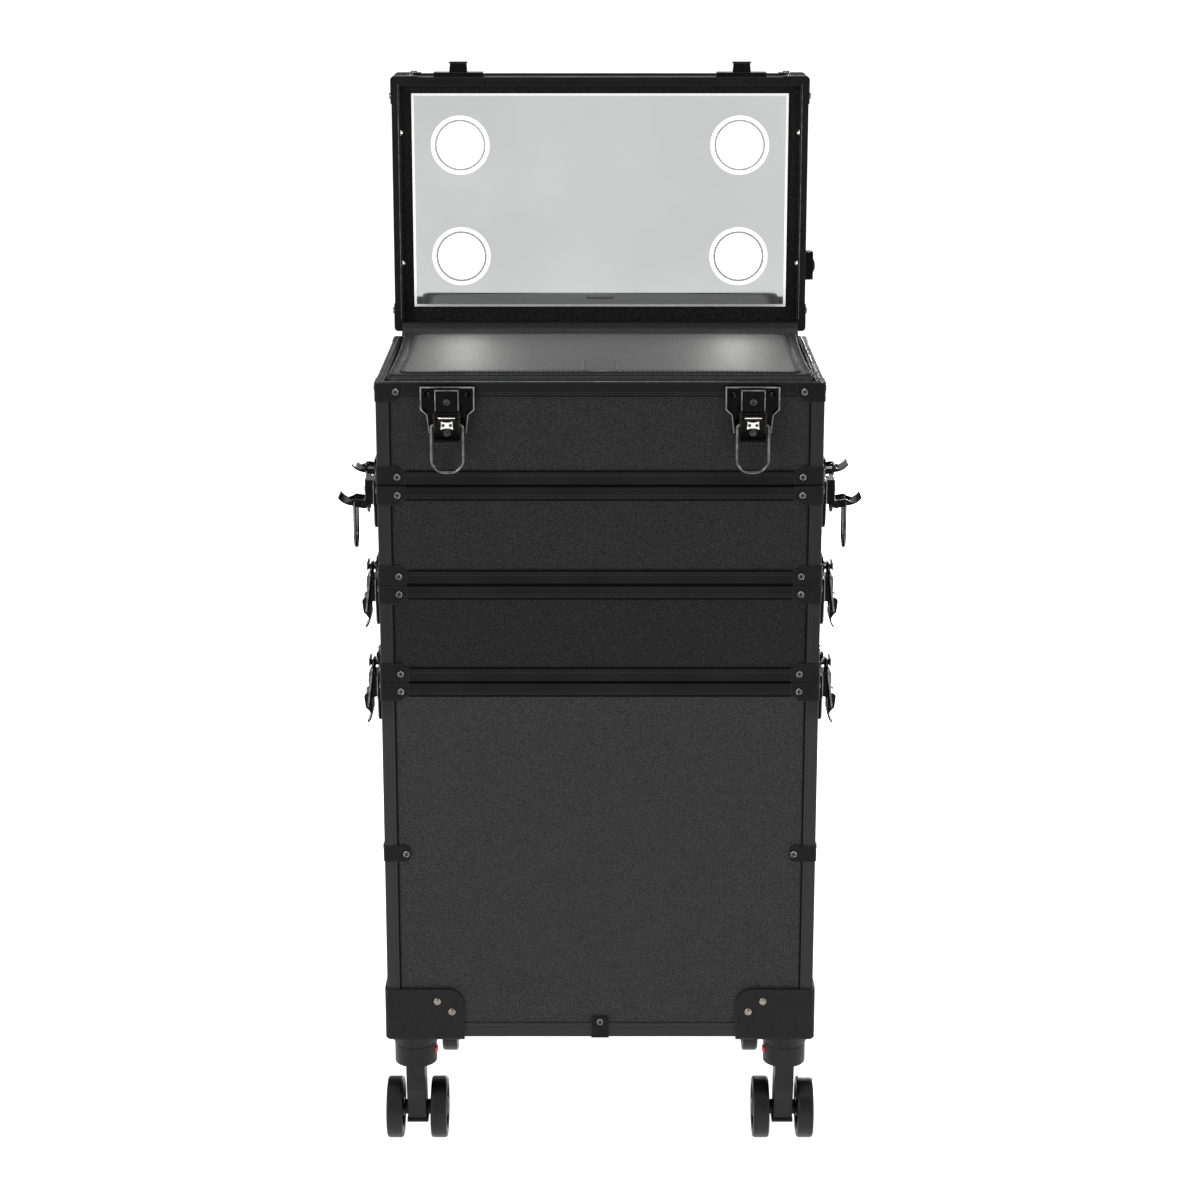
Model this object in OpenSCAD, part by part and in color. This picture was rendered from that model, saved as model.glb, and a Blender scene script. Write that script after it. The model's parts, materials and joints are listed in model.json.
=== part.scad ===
// Rolling makeup case: a deep base on four twin-wheel casters, two stacking trays, a top case with
// a padded work surface, and a mirror lid that stands open on its back hinges. Toggle latches hold
// the tiers together. The front faces -Y, the floor is z = 0, and lengths are in millimetres.

/* [Case] */
// Width over the edge trims
case_w = 360; // [320:1:420]
// Depth over the edge trims
case_d = 220; // [205:1:280]
// Height of the deep base
base_h = 314; // [260:1:380]
// Height of each stacking tray
tray_h = 82; // [78:1:120]
// Height of the top case
top_h = 84; // [80:1:120]
// Depth of the lid from its rim to its top
lid_h = 56; // [44:1:80]
// Shadow gap between two tiers
seam = 0.8; // [0.5:0.1:1.4]
// Underside of the base above the floor
ride_h = 107.6; // [103:0.1:130]
// Thickness of the laminated panels
panel_t = 5; // [4:0.5:8]

/* [Edge trims] */
// Width of a trim on the face of the case
trim_w = 12; // [10:0.5:16]
// Wall thickness of a trim
trim_t = 1.2; // [0.9:0.1:2]
// Rounding of the upright edges
trim_r = 2.5; // [1.5:0.1:4]
// Height of the groove along a trim
groove_w = 1.6; // [1:0.1:2.5]
// Depth of the groove along a trim
groove_deep = 0.4; // [0.2:0.05:0.6]
// Width of the seam tongue on top of a tier
tongue_w = 2; // [1:0.1:3]

/* [Corner caps and clips] */
// Length of a corner cap along each face
cap_w = 23; // [18:0.5:25]
// Height of a corner cap
cap_h = 15.5; // [12:0.5:20]
// Sheet thickness of caps and clips
cap_t = 0.8; // [0.5:0.1:1.2]
// Reach of a strap clip onto the panel
clip_w = 22; // [16:0.5:30]
// Height of a strap clip
clip_h = 14; // [10:0.5:20]
// Height of the side strap clips above the underside of the base
clip_up = 158; // [100:1:220]

/* [Lid, mirror and lamps] */
// Angle at which the lid stands open
lid_open = 90.5; // [88:0.5:100]
// Distance of the hinge axis behind the case
hinge_off = 4; // [3.5:0.1:6]
// Radius of the hinge barrels
hinge_r = 3; // [2.5:0.1:3.3]
// Length of one hinge
hinge_len = 54; // [30:1:70]
// Depth of the mirror below the rim of the lid
mirror_in = 10; // [6:0.5:16]
// Black border left and right of the mirror glass
mirror_side = 16.5; // [14:0.5:30]
// Black border above and below the mirror glass
mirror_edge = 17; // [10:0.5:25]
// Shift of the mirror towards the front edge of the lid
mirror_up = 2.5; // [0:0.5:6]
// Thickness of the mirror glass
mirror_t = 3; // [2:0.5:5]
// Radius of a lamp
lamp_r = 25.5; // [22:0.5:30]
// Radius of the lens inside the lamp's ring
lens_r = 21; // [14:0.5:25]
// Distance of the lamps from the middle, across
lamp_x = 121.5; // [80:0.5:125]
// Distance of the lamps from the middle, up and down
lamp_y = 48.5; // [35:0.5:52]

/* [Work pad] */
// Thickness of the pad at its border
pad_t = 18; // [12:0.5:20]
// Rise of the pad's crown above its border
pad_crown = 2.4; // [0:0.1:3]
// Height of the pad's border above the rim of the top case
pad_proud = 4.5; // [0:0.1:5]
// Distance of the sewn channel from the edge
pad_border = 9; // [6:0.5:14]
// Pull-in of the pad's sides between its corners
pad_draw = 1.5; // [0:0.1:3]
// Gap round the pad
pad_gap = 0.8; // [0.6:0.1:2]

/* [Latches] */
// Distance of the side latches from the front and back faces
latch_inset = 48; // [47:0.5:55]
// Distance of the lid latches from the sides
lid_latch_in = 58; // [52:1:90]
// Width of a latch plate
plate_w = 44; // [38:0.5:46]
// Width of the lever
lever_w = 21.4; // [20:0.1:24]
// Radius of the bail's wire
wire_r = 1.3; // [1:0.05:1.5]
// Angle of a lever that stands open
lever_open = 105; // [95:1:110]

/* [Casters] */
// Distance of a caster's axis from the outside of its corner
caster_in = 24; // [22:0.5:32]
// Wheel radius
wheel_r = 26.3; // [22:0.1:28]
// Width of one wheel
wheel_w = 14; // [10:0.5:18]
// Gap between the two wheels of a caster
wheel_gap = 24; // [22:0.5:30]
// Distance of the axle behind the swivel axis
trail = 12; // [0:0.5:16]
// Length of a caster corner along each face
corner_w = 65; // [56:1:75]
// Height of a caster corner
corner_h = 46; // [36:1:60]

/* [Trolley and handle] */
// Distance of the trolley tubes from the middle
tube_x = 75; // [55:1:110]
// Outer radius of a trolley sleeve
sleeve_r = 9; // [8.5:0.1:11]
// Radius of a trolley rod
rod_r = 7.2; // [6:0.1:7.4]
// Length of the trolley grip
grip_len = 184; // [170:1:260]
// Width of the carrying handle between its arms
handle_w = 110; // [90:1:140]
// Reach of the carrying handle
handle_reach = 34; // [28:1:45]

/* [Hidden] */
$fn = 48;
eps = 0.01;
fit_gap = 0.06;
// Glue line that keeps two pieces of one assembly apart
joint = 0.05;

// Tiers from the floor up
z_base = ride_h;
z_low = z_base + base_h + seam;
z_mid = z_low + tray_h + seam;
z_top = z_mid + tray_h + seam;
z_rim = z_top + top_h;
z_lid = z_rim + seam;
// Top of the tier below each seam, from the lowest
seam_z = [z_base + base_h, z_low + tray_h, z_mid + tray_h];

// Panels stand inside the trims, and the trims' flanges lap over the panels' edges
panel_w = case_w - 2 * trim_t;
panel_d = case_d - 2 * trim_t;
in_w = panel_w - 2 * panel_t;
in_d = panel_d - 2 * panel_t;
flange_lap = 1;
mouth_w = in_w - 2 * flange_lap;
mouth_d = in_d - 2 * flange_lap;
groove_at = trim_w - 2 * groove_w - 1;
tongue_in = trim_t + 1.6;
tongue_back = tongue_in + tongue_w;
lid_tongue = seam / 2;

// Caps are cut slantwise from the shoulder to the tip
cap_shoulder = cap_h * 0.6;
cap_slant = cap_w * 0.3;
// Clip under the middle of the base's front and back edges
foot_clip_w = 15;
foot_clip_h = 18;
foot_clip_lap = 15;
clip_r = 5;

// Lid hinge
hinge_y = case_d / 2 + hinge_off;
hinge_z = z_rim + seam / 2;
hinge_pin_r = 1.4;
hinge_leaf_t = 1.2;
hinge_leaf_h = 20;
hinge_x = [-case_w / 3, 0, case_w / 3];
knuckle = hinge_len / 3;
knuckle_gap = 0.3;

// Mirror and lamps, in the closed lid
board_t = 4;
mirror_w = case_w - 2 * mirror_side;
mirror_d = case_d - 2 * mirror_edge;
mirror_z = z_lid + mirror_in;
lamp_t = 1.2;
lens_t = 0.8;

// Work pad and its ledges
pad_w = mouth_w - 2 * pad_gap;
pad_d = mouth_d - 2 * pad_gap;
pad_top = z_rim + pad_proud;
pad_z = pad_top - pad_t;
edge_in = 2.5;
edge_drop = 3;
border_dip = 0.6;
channel_half = 2;
channel_deep = 1.3;
ledge_play = 0.3;
ledge_w = 8;
ledge_h = 7;
ledge_top = pad_z - ledge_play;

// Latch, drawn as (out from the wall, up from the top of the lower tier)
plate_t = 1.2;
dish_h = 5;
dish_wall = 1.6;
plate_top = -2;
plate_knee = -20.7;
plate_waist = -25;
plate_end = -42;
waist_in = 5;
end_in = 7;
box_w = 18.7;
box_out = 13;
box_z = [-20.4, -3.7];
pivot = [14, -24];
pivot_r = 1.5;
knuckle_r = 2.8;
bail_pivot = [13.5, -31.8];
bail_seat = [9, 6.5];
bail_vec = bail_seat - bail_pivot;
bail_len = norm(bail_vec);
bail_lean = atan2(-bail_vec[0], bail_vec[1]);
flange_t = 1;
bail_bend = 2;
bail_half = lever_w / 2 + bail_bend;
bail_corner = 11;
bow_r = 14;
bow_t = 1.4;
bow_mid = [25.7, -36.5];
lever_top = -27.6;
lever_tip = -46;
catch_w = 43;
catch_h = 14.5;
catch_out = 4;
catch_gap = 0.6;
hook_w = 16;
hook_web_w = 8;
hook_t = 1.3;
hook_foot = 2.4;
hook_rise = 3.8;
hook_z = bail_seat[1] - wire_r - 0.5;
hook_lip = bail_seat[0] + wire_r + 1.4;

lid_latch_x = case_w / 2 - lid_latch_in;
side_latches = [for (sx = [-1, 1], sy = [-1, 1], t = [0 : 2])
    [str(sx < 0 ? "left" : "right", "_", sy < 0 ? "front" : "rear", "_", ["low", "mid", "top"][t]),
     sx, sy * (case_d / 2 - latch_inset), seam_z[t], t == 2 ? "open" : "closed"]];
lid_latches = [for (sx = [-1, 1])
    [str("lid_", sx < 0 ? "left" : "right"), 0, sx * lid_latch_x, z_rim, "hanging"]];
latches = concat(side_latches, lid_latches);

// Casters
corner_t = 2;
corner_floor = 2.6;
// Softening of the corner's lower outer edges
corner_soft = 1.8;
corner_r = 14;
socket_h = 11;
socket_r = 23;
head_r = 18;
head_h = 17;
head_z = ride_h - corner_floor - socket_h;
head_gap = 0.3;
king_r = 5;
king_len = 12;
leg_w = 16;
leg_boss_r = 10.5;
spacer_r = 6.5;
lip_w = 18;
lip_r = 2.2;
lip_reach = 6;
wheel_play = 0.5;
axle_r = 3;
tread = 6.5;
hub_r = 8;
pockets = 6;
caster_x = case_w / 2 + corner_t - caster_in;
caster_y = case_d / 2 + corner_t - caster_in;
casters = [for (sx = [-1, 1], sy = [-1, 1])
    [str(sy < 0 ? "front" : "rear", "_", sx < 0 ? "left" : "right"), sx, sy]];

// Trolley
trolley_out = 16;
trolley_y = panel_d / 2 + trolley_out;
rod_gap = 0.1;
sleeve_clear = 2;
sleeve_drop = 18;
sleeve_z = [z_base + foot_clip_h + sleeve_clear, z_base + base_h - sleeve_drop];
bracket_h = 24;
bracket_wall = 3;
bracket_w = 2 * (tube_x + 2 * sleeve_r);
rod_lift = 20;
rod_foot = sleeve_z[0] + rod_lift;
grip_d = 25;
grip_h = 26;
grip_r = 9;
grip_z = sleeve_z[1] + 3;
rod_seat = 12;
button_w = 40;
button_d = 12;
button_gap = 0.3;
button_travel = 4;
button_proud = 2.5;
button_deep = 10;

// Carrying handle on the closed lid's top
lid_top = z_lid + lid_h;
handle_up = 9;
handle_z = lid_top + handle_up;
handle_r = 6;
arm_t = 7;
arm_h = 10;
handle_pin_r = 3;
handle_base_t = 10;
bracket_foot = 26;
bracket_eye_r = 7;
handle_gap = 0.4;

// Switch on the lid's right side, in the closed lid
switch_from_hinge = 58;
switch_up = 28;
switch_y = hinge_y - switch_from_hinge;
switch_z = z_lid + switch_up;
switch_len = 25;
switch_wide = 18;
switch_floor = 1;
switch_r = 3;
switch_out = 8;
rocker_proud = 2;
rocker_deep = 5;
rocker_len = 15;
rocker_wide = 10;
rocker_r = 12;
rocker_gap = 0.3;
rocker_tilt = 7;

// Shared shapes

// Round-cornered rectangle about the origin
module rr(w, d, r) {
    square([w - 2 * r, d], center = true);
    square([w, d - 2 * r], center = true);
    for (sx = [-1, 1], sy = [-1, 1])
        translate([sx * (w / 2 - r), sy * (d / 2 - r)]) circle(r);
}

// Pushes an outline drawn as (across, up) out of a wall that faces -Y
module out(depth) rotate([90, 0, 0]) linear_extrude(depth) children();

// Runs a profile drawn as (out, up) across the width of a fitting
module across(width) rotate([90, 0, -90]) linear_extrude(width, center = true) children();

// Repeats a +X +Y corner at all four corners of the case
module four_corners()
    for (mx = [0, 1], my = [0, 1])
        mirror([mx, 0, 0]) mirror([0, my, 0]) children();

// Turns the closed lid about its hinge axis to where it stands open
module opened()
    translate([0, hinge_y, hinge_z]) rotate([-lid_open, 0, 0])
        translate([0, -hinge_y, -hinge_z]) children();

// Takes a fitting from its own wall frame to its place on the case
module on_wall(l)
    if (l[1] == 0) translate([l[2], -case_d / 2, l[3]]) children();
    else translate([l[1] * case_w / 2, l[2], l[3]]) rotate([0, 0, 90 * l[1]]) children();

// Tiers

// Board that fills the inside of a tier from wall to wall
module inner_board(t) linear_extrude(t) square([in_w - 2 * joint, in_d - 2 * joint], center = true);

// Four walls and a floor, butted face to face; the floor is on top in the lid
module tier_panels(z, h, floor_up = false) {
    wall_h = h - 2 * trim_t;
    translate([0, 0, z + trim_t]) {
        for (sy = [-1, 1])
            translate([-panel_w / 2, sy * (panel_d - panel_t) / 2 - panel_t / 2, 0])
                cube([panel_w, panel_t, wall_h]);
        for (sx = [-1, 1])
            translate([sx * (panel_w - panel_t) / 2 - panel_t / 2, joint - in_d / 2, 0])
                cube([panel_t, in_d - 2 * joint, wall_h]);
        translate([0, 0, floor_up ? wall_h - panel_t : 0]) inner_board(panel_t);
    }
}

// L-section ring that closes the upper (or lower) edges of a tier, with a groove along its face
module edge_ring(z, upper, tongue = 0)
    translate([0, 0, z]) mirror([0, 0, upper ? 0 : 1]) {
        difference() {
            translate([0, 0, -trim_w]) linear_extrude(trim_w) rr(case_w, case_d, trim_r);
            translate([0, 0, -trim_w - 1]) linear_extrude(trim_w + 2)
                square([mouth_w, mouth_d], center = true);
            translate([0, 0, -trim_w - 1]) linear_extrude(trim_w + 1 - trim_t)
                square([panel_w, panel_d], center = true);
            translate([0, 0, -groove_at - groove_w]) linear_extrude(groove_w) difference() {
                square([case_w + 2, case_d + 2], center = true);
                rr(case_w - 2 * groove_deep, case_d - 2 * groove_deep, trim_r - groove_deep);
            }
        }
        if (tongue > 0) linear_extrude(tongue - joint) difference() {
            square([case_w - 2 * tongue_in, case_d - 2 * tongue_in], center = true);
            square([case_w - 2 * tongue_back, case_d - 2 * tongue_back], center = true);
        }
    }

// Upright angle trims between the two rings of a tier
module edge_posts(z, h)
    four_corners() translate([0, 0, z + trim_w + joint]) linear_extrude(h - 2 * trim_w - 2 * joint)
    difference() {
        intersection() {
            rr(case_w, case_d, trim_r);
            translate([case_w / 2 - trim_w, case_d / 2 - trim_w]) square(trim_w + 1);
        }
        translate([case_w / 2 - trim_w - 1, case_d / 2 - trim_w - 1])
            square([trim_w + 1 - trim_t, trim_w + 1 - trim_t]);
        translate([case_w / 2 - groove_at - groove_w, case_d / 2 - groove_deep])
            square([groove_w, groove_deep + 1]);
        translate([case_w / 2 - groove_deep, case_d / 2 - groove_at - groove_w])
            square([groove_deep + 1, groove_w]);
    }

module tier_trims(z, h, tongue) {
    edge_ring(z, false);
    edge_ring(z + h, true, tongue);
    edge_posts(z, h);
}

// Folded sheet round a corner of the case: len along both faces, outside the trims
module corner_fold(len, h, t)
    linear_extrude(h) intersection() {
        difference() {
            rr(case_w + 2 * t, case_d + 2 * t, trim_r + t);
            rr(case_w + 2 * joint, case_d + 2 * joint, trim_r + joint);
        }
        translate([case_w / 2 - len, case_d / 2 - len]) square(len + t + 1);
    }

// Stamped cap at the lower end of a +X +Y corner, cut off slantwise at its inner tips
module corner_cap()
    difference() {
        corner_fold(cap_w, cap_h, cap_t);
        for (flip = [0, 1]) mirror([flip, -flip, 0]) {
            face = flip ? case_w / 2 : case_d / 2;
            end = (flip ? case_d / 2 : case_w / 2) - cap_w;
            translate([end, face + cap_t + 1, 0]) out(cap_t + 2)
                polygon([[-1, cap_shoulder], [0, cap_shoulder], [cap_slant, cap_h], [cap_slant, cap_h + 1],
                    [-1, cap_h + 1]]);
        }
    }

module tier_caps(z, h, lower = true, upper = true)
    four_corners() {
        if (lower) translate([0, 0, z]) corner_cap();
        if (upper) translate([0, 0, z + h]) mirror([0, 0, 1]) corner_cap();
    }

// Cuts the inner tips of a corner fold to a round at its upper edge
module round_tips(len, top, r, t)
    for (flip = [0, 1]) mirror([flip, -flip, 0]) {
        face = flip ? case_w / 2 : case_d / 2;
        end = (flip ? case_d / 2 : case_w / 2) - len;
        translate([end, face + t + 1, top]) out(t + 1) difference() {
            translate([-1, -r]) square([r + 1, r + 1]);
            translate([r, -r]) circle(r);
        }
    }

// Latch pieces, drawn on a wall that faces -Y with the seam at z = 0

// Shield outline of the plate, drawn in by inset
module shield(inset) {
    w = plate_w / 2 - inset;
    polygon([[-w, plate_top - inset], [w, plate_top - inset], [w, plate_knee], [w - waist_in, plate_waist],
        [w - end_in, plate_end + inset], [end_in - w, plate_end + inset], [waist_in - w, plate_waist],
        [-w, plate_knee]]);
}

module pin_across(r, len, at)
    translate([0, -at[0], at[1]]) rotate([0, 90, 0]) cylinder(h = len, r = r, center = true);

// Pressed dish with a raised box that ends in the lever's knuckle, and the lever's pin
module latch_plate() {
    difference() {
        out(dish_h) shield(0);
        translate([0, -plate_t, 0]) out(dish_h) shield(dish_wall);
    }
    out(box_out) translate([-box_w / 2, box_z[0]]) square([box_w, box_z[1] - box_z[0]]);
    across(box_w) polygon([[plate_t, box_z[0] + 1], [box_out, box_z[0] + 1], [box_out, box_z[0]],
        [pivot[0] + 2, pivot[1] + 1.8], [pivot[0] - 2.4, pivot[1] - 1.2], [plate_t, box_z[0] - 2]]);
    pin_across(knuckle_r, box_w, pivot);
    pin_across(pivot_r, lever_w + 0.6, pivot);
}

// Catch: a shallow plate with a J hook whose lip turns away from the lever
module latch_catch() {
    out(catch_out) translate([0, seam + catch_gap + catch_h / 2]) rr(catch_w, catch_h, 3);
    across(hook_web_w) translate([catch_out - 1, hook_z - hook_foot])
        square([hook_lip - catch_out + 1 + eps, hook_foot]);
    across(hook_w) translate([hook_lip, hook_z - hook_foot]) square([hook_t, hook_foot + hook_rise]);
}

// Closed lever: a bowed plate that invites a fingertip, between two cheeks that hold the pivots
module lever_shape()
    difference() {
        union() {
            across(lever_w) intersection() {
                translate(bow_mid) difference() {
                    circle(bow_r + bow_t);
                    circle(bow_r);
                }
                translate([bow_mid[0] - bow_r - bow_t - 1, lever_tip]) square([bow_r, lever_top - lever_tip]);
            }
            for (sx = [-1, 1]) translate([sx * (lever_w - flange_t) / 2, 0, 0]) across(flange_t) cheek();
        }
        pin_across(pivot_r + fit_gap, lever_w + 1, pivot);
        for (sx = [-1, 1]) translate([sx * (lever_w - flange_t) / 2, 0, 0])
            pin_across(wire_r + fit_gap, flange_t + eps, bail_pivot);
    }

// Side cheek of the lever as (out, up)
module cheek() {
    cheek_r = knuckle_r + 0.6;
    eye_r = cheek_r - 0.4;
    translate(pivot) circle(cheek_r);
    translate(bail_pivot) circle(eye_r);
    polygon([pivot + [-cheek_r, 0], pivot + [cheek_r, 0], bail_pivot + [eye_r, 0],
        [bow_mid[0] - bow_r + 0.2, bow_mid[1] - 2], [bow_mid[0] - bow_r - bow_t + 0.2, bow_mid[1] - 2],
        bail_pivot - [eye_r, 0]]);
}

// Wire bail hanging from its pivot at the origin
module bail_shape() {
    stub_in = lever_w / 2 - flange_t + 0.05;
    leg_x = bail_half;
    for (sx = [0, 1]) mirror([sx, 0, 0]) {
        translate([stub_in, 0, 0]) rotate([0, 90, 0]) cylinder(h = leg_x - bail_bend - stub_in, r = wire_r);
        translate([leg_x - bail_bend, 0, -bail_bend]) rotate([90, 0, 0])
            rotate_extrude(angle = 90) translate([bail_bend, 0]) circle(wire_r);
        translate([leg_x, 0, bail_corner - bail_len])
            cylinder(h = bail_len - bail_corner - bail_bend, r = wire_r);
        translate([leg_x - bail_corner, 0, bail_corner - bail_len]) mirror([0, 0, 1]) rotate([90, 0, 0])
            rotate_extrude(angle = 90) translate([bail_corner, 0]) circle(wire_r);
    }
    translate([0, 0, -bail_len]) rotate([0, 90, 0])
        cylinder(h = 2 * (leg_x - bail_corner), r = wire_r, center = true);
}

// Turns about the lever's pivot by the opening angle
module lever_turn(angle)
    translate([0, -pivot[0], pivot[1]]) rotate([-angle, 0, 0]) translate([0, pivot[0], -pivot[1]]) children();

function lever_angle(l) = l[4] == "open" ? lever_open : 0;

// Place of the bail's pivot when the lever stands at the given angle
function bail_at(angle) = let (v = bail_pivot - pivot)
    pivot + [v[0] * cos(angle) - v[1] * sin(angle), v[0] * sin(angle) + v[1] * cos(angle)];

module latch_lever(l) color("#141416") on_wall(l) lever_turn(lever_angle(l)) lever_shape();

module latch_bail(l) {
    at = bail_at(lever_angle(l));
    color("#2a2a2c") on_wall(l) translate([0, -at[0], at[1]])
        rotate([l[4] == "closed" ? -180 - bail_lean : 0, 0, 0]) bail_shape();
}

// Base, trays and what is fixed to them

module base_panels() color("#1f1f21") tier_panels(z_base, base_h);
module lower_tray_panels() color("#1f1f21") tier_panels(z_low, tray_h);
module middle_tray_panels() color("#1f1f21") tier_panels(z_mid, tray_h);

module edge_trims() color("#121213") {
    tier_trims(z_base, base_h, seam);
    tier_trims(z_low, tray_h, seam);
    tier_trims(z_mid, tray_h, seam);
}

// Caps at the tier corners, clips round the base's edges and under its front and back
module corner_caps() color("#0f0f10") {
    tier_caps(z_base, base_h, lower = false);
    tier_caps(z_low, tray_h);
    tier_caps(z_mid, tray_h);
    four_corners() translate([0, 0, z_base + clip_up + clip_h / 2]) strap_clip();
    for (back = [0, 1]) mirror([0, back, 0]) translate([0, -case_d / 2, z_base]) {
        out(cap_t) translate([-foot_clip_w / 2, 0]) square([foot_clip_w, foot_clip_h]);
        translate([-foot_clip_w / 2, -cap_t, -cap_t]) cube([foot_clip_w, foot_clip_lap + cap_t, cap_t]);
    }
}

// Strap clip folded round an upright edge, with rounded ends
module strap_clip()
    difference() {
        translate([0, 0, -clip_h / 2]) corner_fold(clip_w, clip_h, cap_t);
        for (lower = [0, 1]) mirror([0, 0, lower]) round_tips(clip_w, clip_h / 2, clip_r, cap_t);
    }

// Pressed corner that wraps the foot of the base and carries the caster's socket and king pin
module caster_corner() {
    foot = ride_h - corner_floor;
    difference() {
        union() {
            translate([0, 0, foot + corner_soft]) corner_fold(corner_w, corner_h - corner_soft, corner_t);
            hull() {
                translate([0, 0, foot]) linear_extrude(eps) corner_sole(corner_soft);
                translate([0, 0, foot + corner_soft]) linear_extrude(corner_floor - corner_soft) corner_sole(0);
            }
        }
        round_tips(corner_w, foot + corner_h, corner_r, corner_t);
    }
    translate([caster_x, caster_y, head_z + head_gap]) {
        cylinder(h = foot - joint - head_z - head_gap, r1 = head_r, r2 = socket_r);
        translate([0, 0, -king_len]) cylinder(h = king_len + 1, r = king_r);
    }
}

// Plan of the corner's floor, drawn in from its outer edges
module corner_sole(inset)
    intersection() {
        rr(case_w + 2 * (corner_t - inset), case_d + 2 * (corner_t - inset), trim_r + corner_t - inset);
        translate([case_w / 2 - corner_w, case_d / 2 - corner_w]) square(corner_w + corner_t);
    }

module caster_corners() color("#151516") four_corners() caster_corner();

module latch_plates() color("#161618") for (l = side_latches) on_wall(l) latch_plate();

module latch_catches() color("#161618") for (l = side_latches) if (l[4] == "closed") on_wall(l) latch_catch();

// Tubes behind the base, clamped by an upper and a lower bracket
module trolley_sleeves() color("#19191b") {
    for (sx = [-1, 1]) translate([sx * tube_x, trolley_y, sleeve_z[0]]) difference() {
        cylinder(h = sleeve_z[1] - sleeve_z[0], r = sleeve_r);
        translate([0, 0, -1]) cylinder(h = sleeve_z[1] - sleeve_z[0] + 2, r = rod_r + rod_gap);
    }
    for (z = [sleeve_z[0], sleeve_z[1] - bracket_h]) difference() {
        union() {
            translate([-bracket_w / 2, panel_d / 2, z]) cube([bracket_w, trolley_y - panel_d / 2, bracket_h]);
            for (sx = [-1, 1]) translate([sx * tube_x, trolley_y, z])
                cylinder(h = bracket_h, r = sleeve_r + bracket_wall);
        }
        for (sx = [-1, 1]) translate([sx * tube_x, trolley_y, z - 1])
            cylinder(h = bracket_h + 2, r = sleeve_r + joint);
    }
}

// Rods and the grip that joins them, with a pocket for the release button
module trolley_grip() color("#1b1b1d") {
    for (sx = [-1, 1]) translate([sx * tube_x, trolley_y, rod_foot])
        cylinder(h = grip_z + rod_seat - joint - rod_foot, r = rod_r);
    difference() {
        translate([0, trolley_y, grip_z + grip_h / 2]) rotate([90, 0, 90])
            linear_extrude(grip_len, center = true) rr(grip_d, grip_h, grip_r);
        translate([0, trolley_y, grip_z + grip_h - button_deep]) linear_extrude(button_deep + 1)
            rr(button_w + 2 * button_gap, button_d + 2 * button_gap, button_d / 2);
        for (sx = [-1, 1]) translate([sx * tube_x, trolley_y, grip_z - 1])
            cylinder(h = rod_seat + 1, r = rod_r + joint);
    }
}

module trolley_button() color("#2b2b2e")
    translate([0, trolley_y, grip_z + grip_h - button_deep + button_travel + button_gap])
        linear_extrude(button_deep - button_travel - button_gap + button_proud)
            rr(button_w, button_d, button_d / 2 - button_gap);

// Casters

// Swivel head, leg that reaches back to the axle, and the rolled lip under it
module caster_fork(c) {
    axle = [trail, wheel_r];
    head_foot = head_z - head_h;
    boss = leg_boss_r - 0.5;
    color("#17171a") translate([c[1] * caster_x, c[2] * caster_y, 0]) difference() {
        union() {
            translate([0, 0, head_foot]) cylinder(h = head_h, r = head_r);
            rotate([90, 0, 90]) linear_extrude(leg_w, center = true) {
                polygon([[-head_r * 0.72, head_foot + 1], [head_r * 0.8, head_foot + 1], axle + [boss, 4],
                    axle - [0, boss], axle - [boss + 2, 4], [-head_r * 0.55, (head_foot + axle[1]) / 2]]);
                translate(axle) circle(leg_boss_r);
            }
            translate([0, axle[0], axle[1]]) rotate([0, 90, 0])
                cylinder(h = wheel_gap - 2 * wheel_play, r = spacer_r, center = true);
            hull() for (dy = [-lip_reach, lip_reach])
                translate([0, axle[0] + dy, axle[1] - leg_boss_r + lip_r / 2]) rotate([0, 90, 0])
                    cylinder(h = lip_w, r = lip_r, center = true);
        }
        translate([0, 0, head_z - king_len - 1]) cylinder(h = king_len + 2, r = king_r + fit_gap);
        translate([0, axle[0], axle[1]]) rotate([0, 90, 0])
            cylinder(h = wheel_gap + 2, r = axle_r + fit_gap, center = true);
    }
}

// Pair of wheels with a soft-edged tread and a pierced disc, on one axle
module caster_wheels(c) {
    pocket_ring = (wheel_r - tread + hub_r) / 2;
    pocket_r = (wheel_r - tread - hub_r) / 2 - 1.5;
    bore = axle_r + joint;
    color("#101012") translate([c[1] * caster_x, c[2] * caster_y + trail, wheel_r]) rotate([0, 90, 0]) {
        for (sx = [-1, 1]) translate([0, 0, sx * (wheel_gap + wheel_w) / 2]) difference() {
            rotate_extrude() {
                translate([wheel_r - tread / 2, 0]) rr(tread, wheel_w, 2);
                translate([bore, -wheel_w / 4]) square([wheel_r - tread - bore + 1, wheel_w / 2]);
                translate([bore, -wheel_w / 2]) square([hub_r - bore, wheel_w]);
            }
            for (i = [0 : pockets - 1]) rotate([0, 0, 360 / pockets * i]) translate([pocket_ring, 0, 0])
                cylinder(h = wheel_w + 2, r = pocket_r, center = true);
        }
        cylinder(h = wheel_gap + 2 * wheel_w - 2, r = axle_r, center = true);
    }
}

// Top case

module top_panels() color("#1f1f21") {
    tier_panels(z_top, top_h);
    ledge_x = (in_w - ledge_w) / 2 - joint;
    for (sx = [-1, 1]) translate([sx * ledge_x - ledge_w / 2, joint - in_d / 2, ledge_top - ledge_h])
        cube([ledge_w, in_d - 2 * joint, ledge_h]);
}

module top_edge_frame() color("#121213") {
    tier_trims(z_top, top_h, lid_tongue);
    tier_caps(z_top, top_h);
}

module top_latch_fittings() color("#161618") {
    for (l = lid_latches) on_wall(l) latch_plate();
    for (l = side_latches) if (l[4] == "open") on_wall(l) latch_catch();
}

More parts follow.
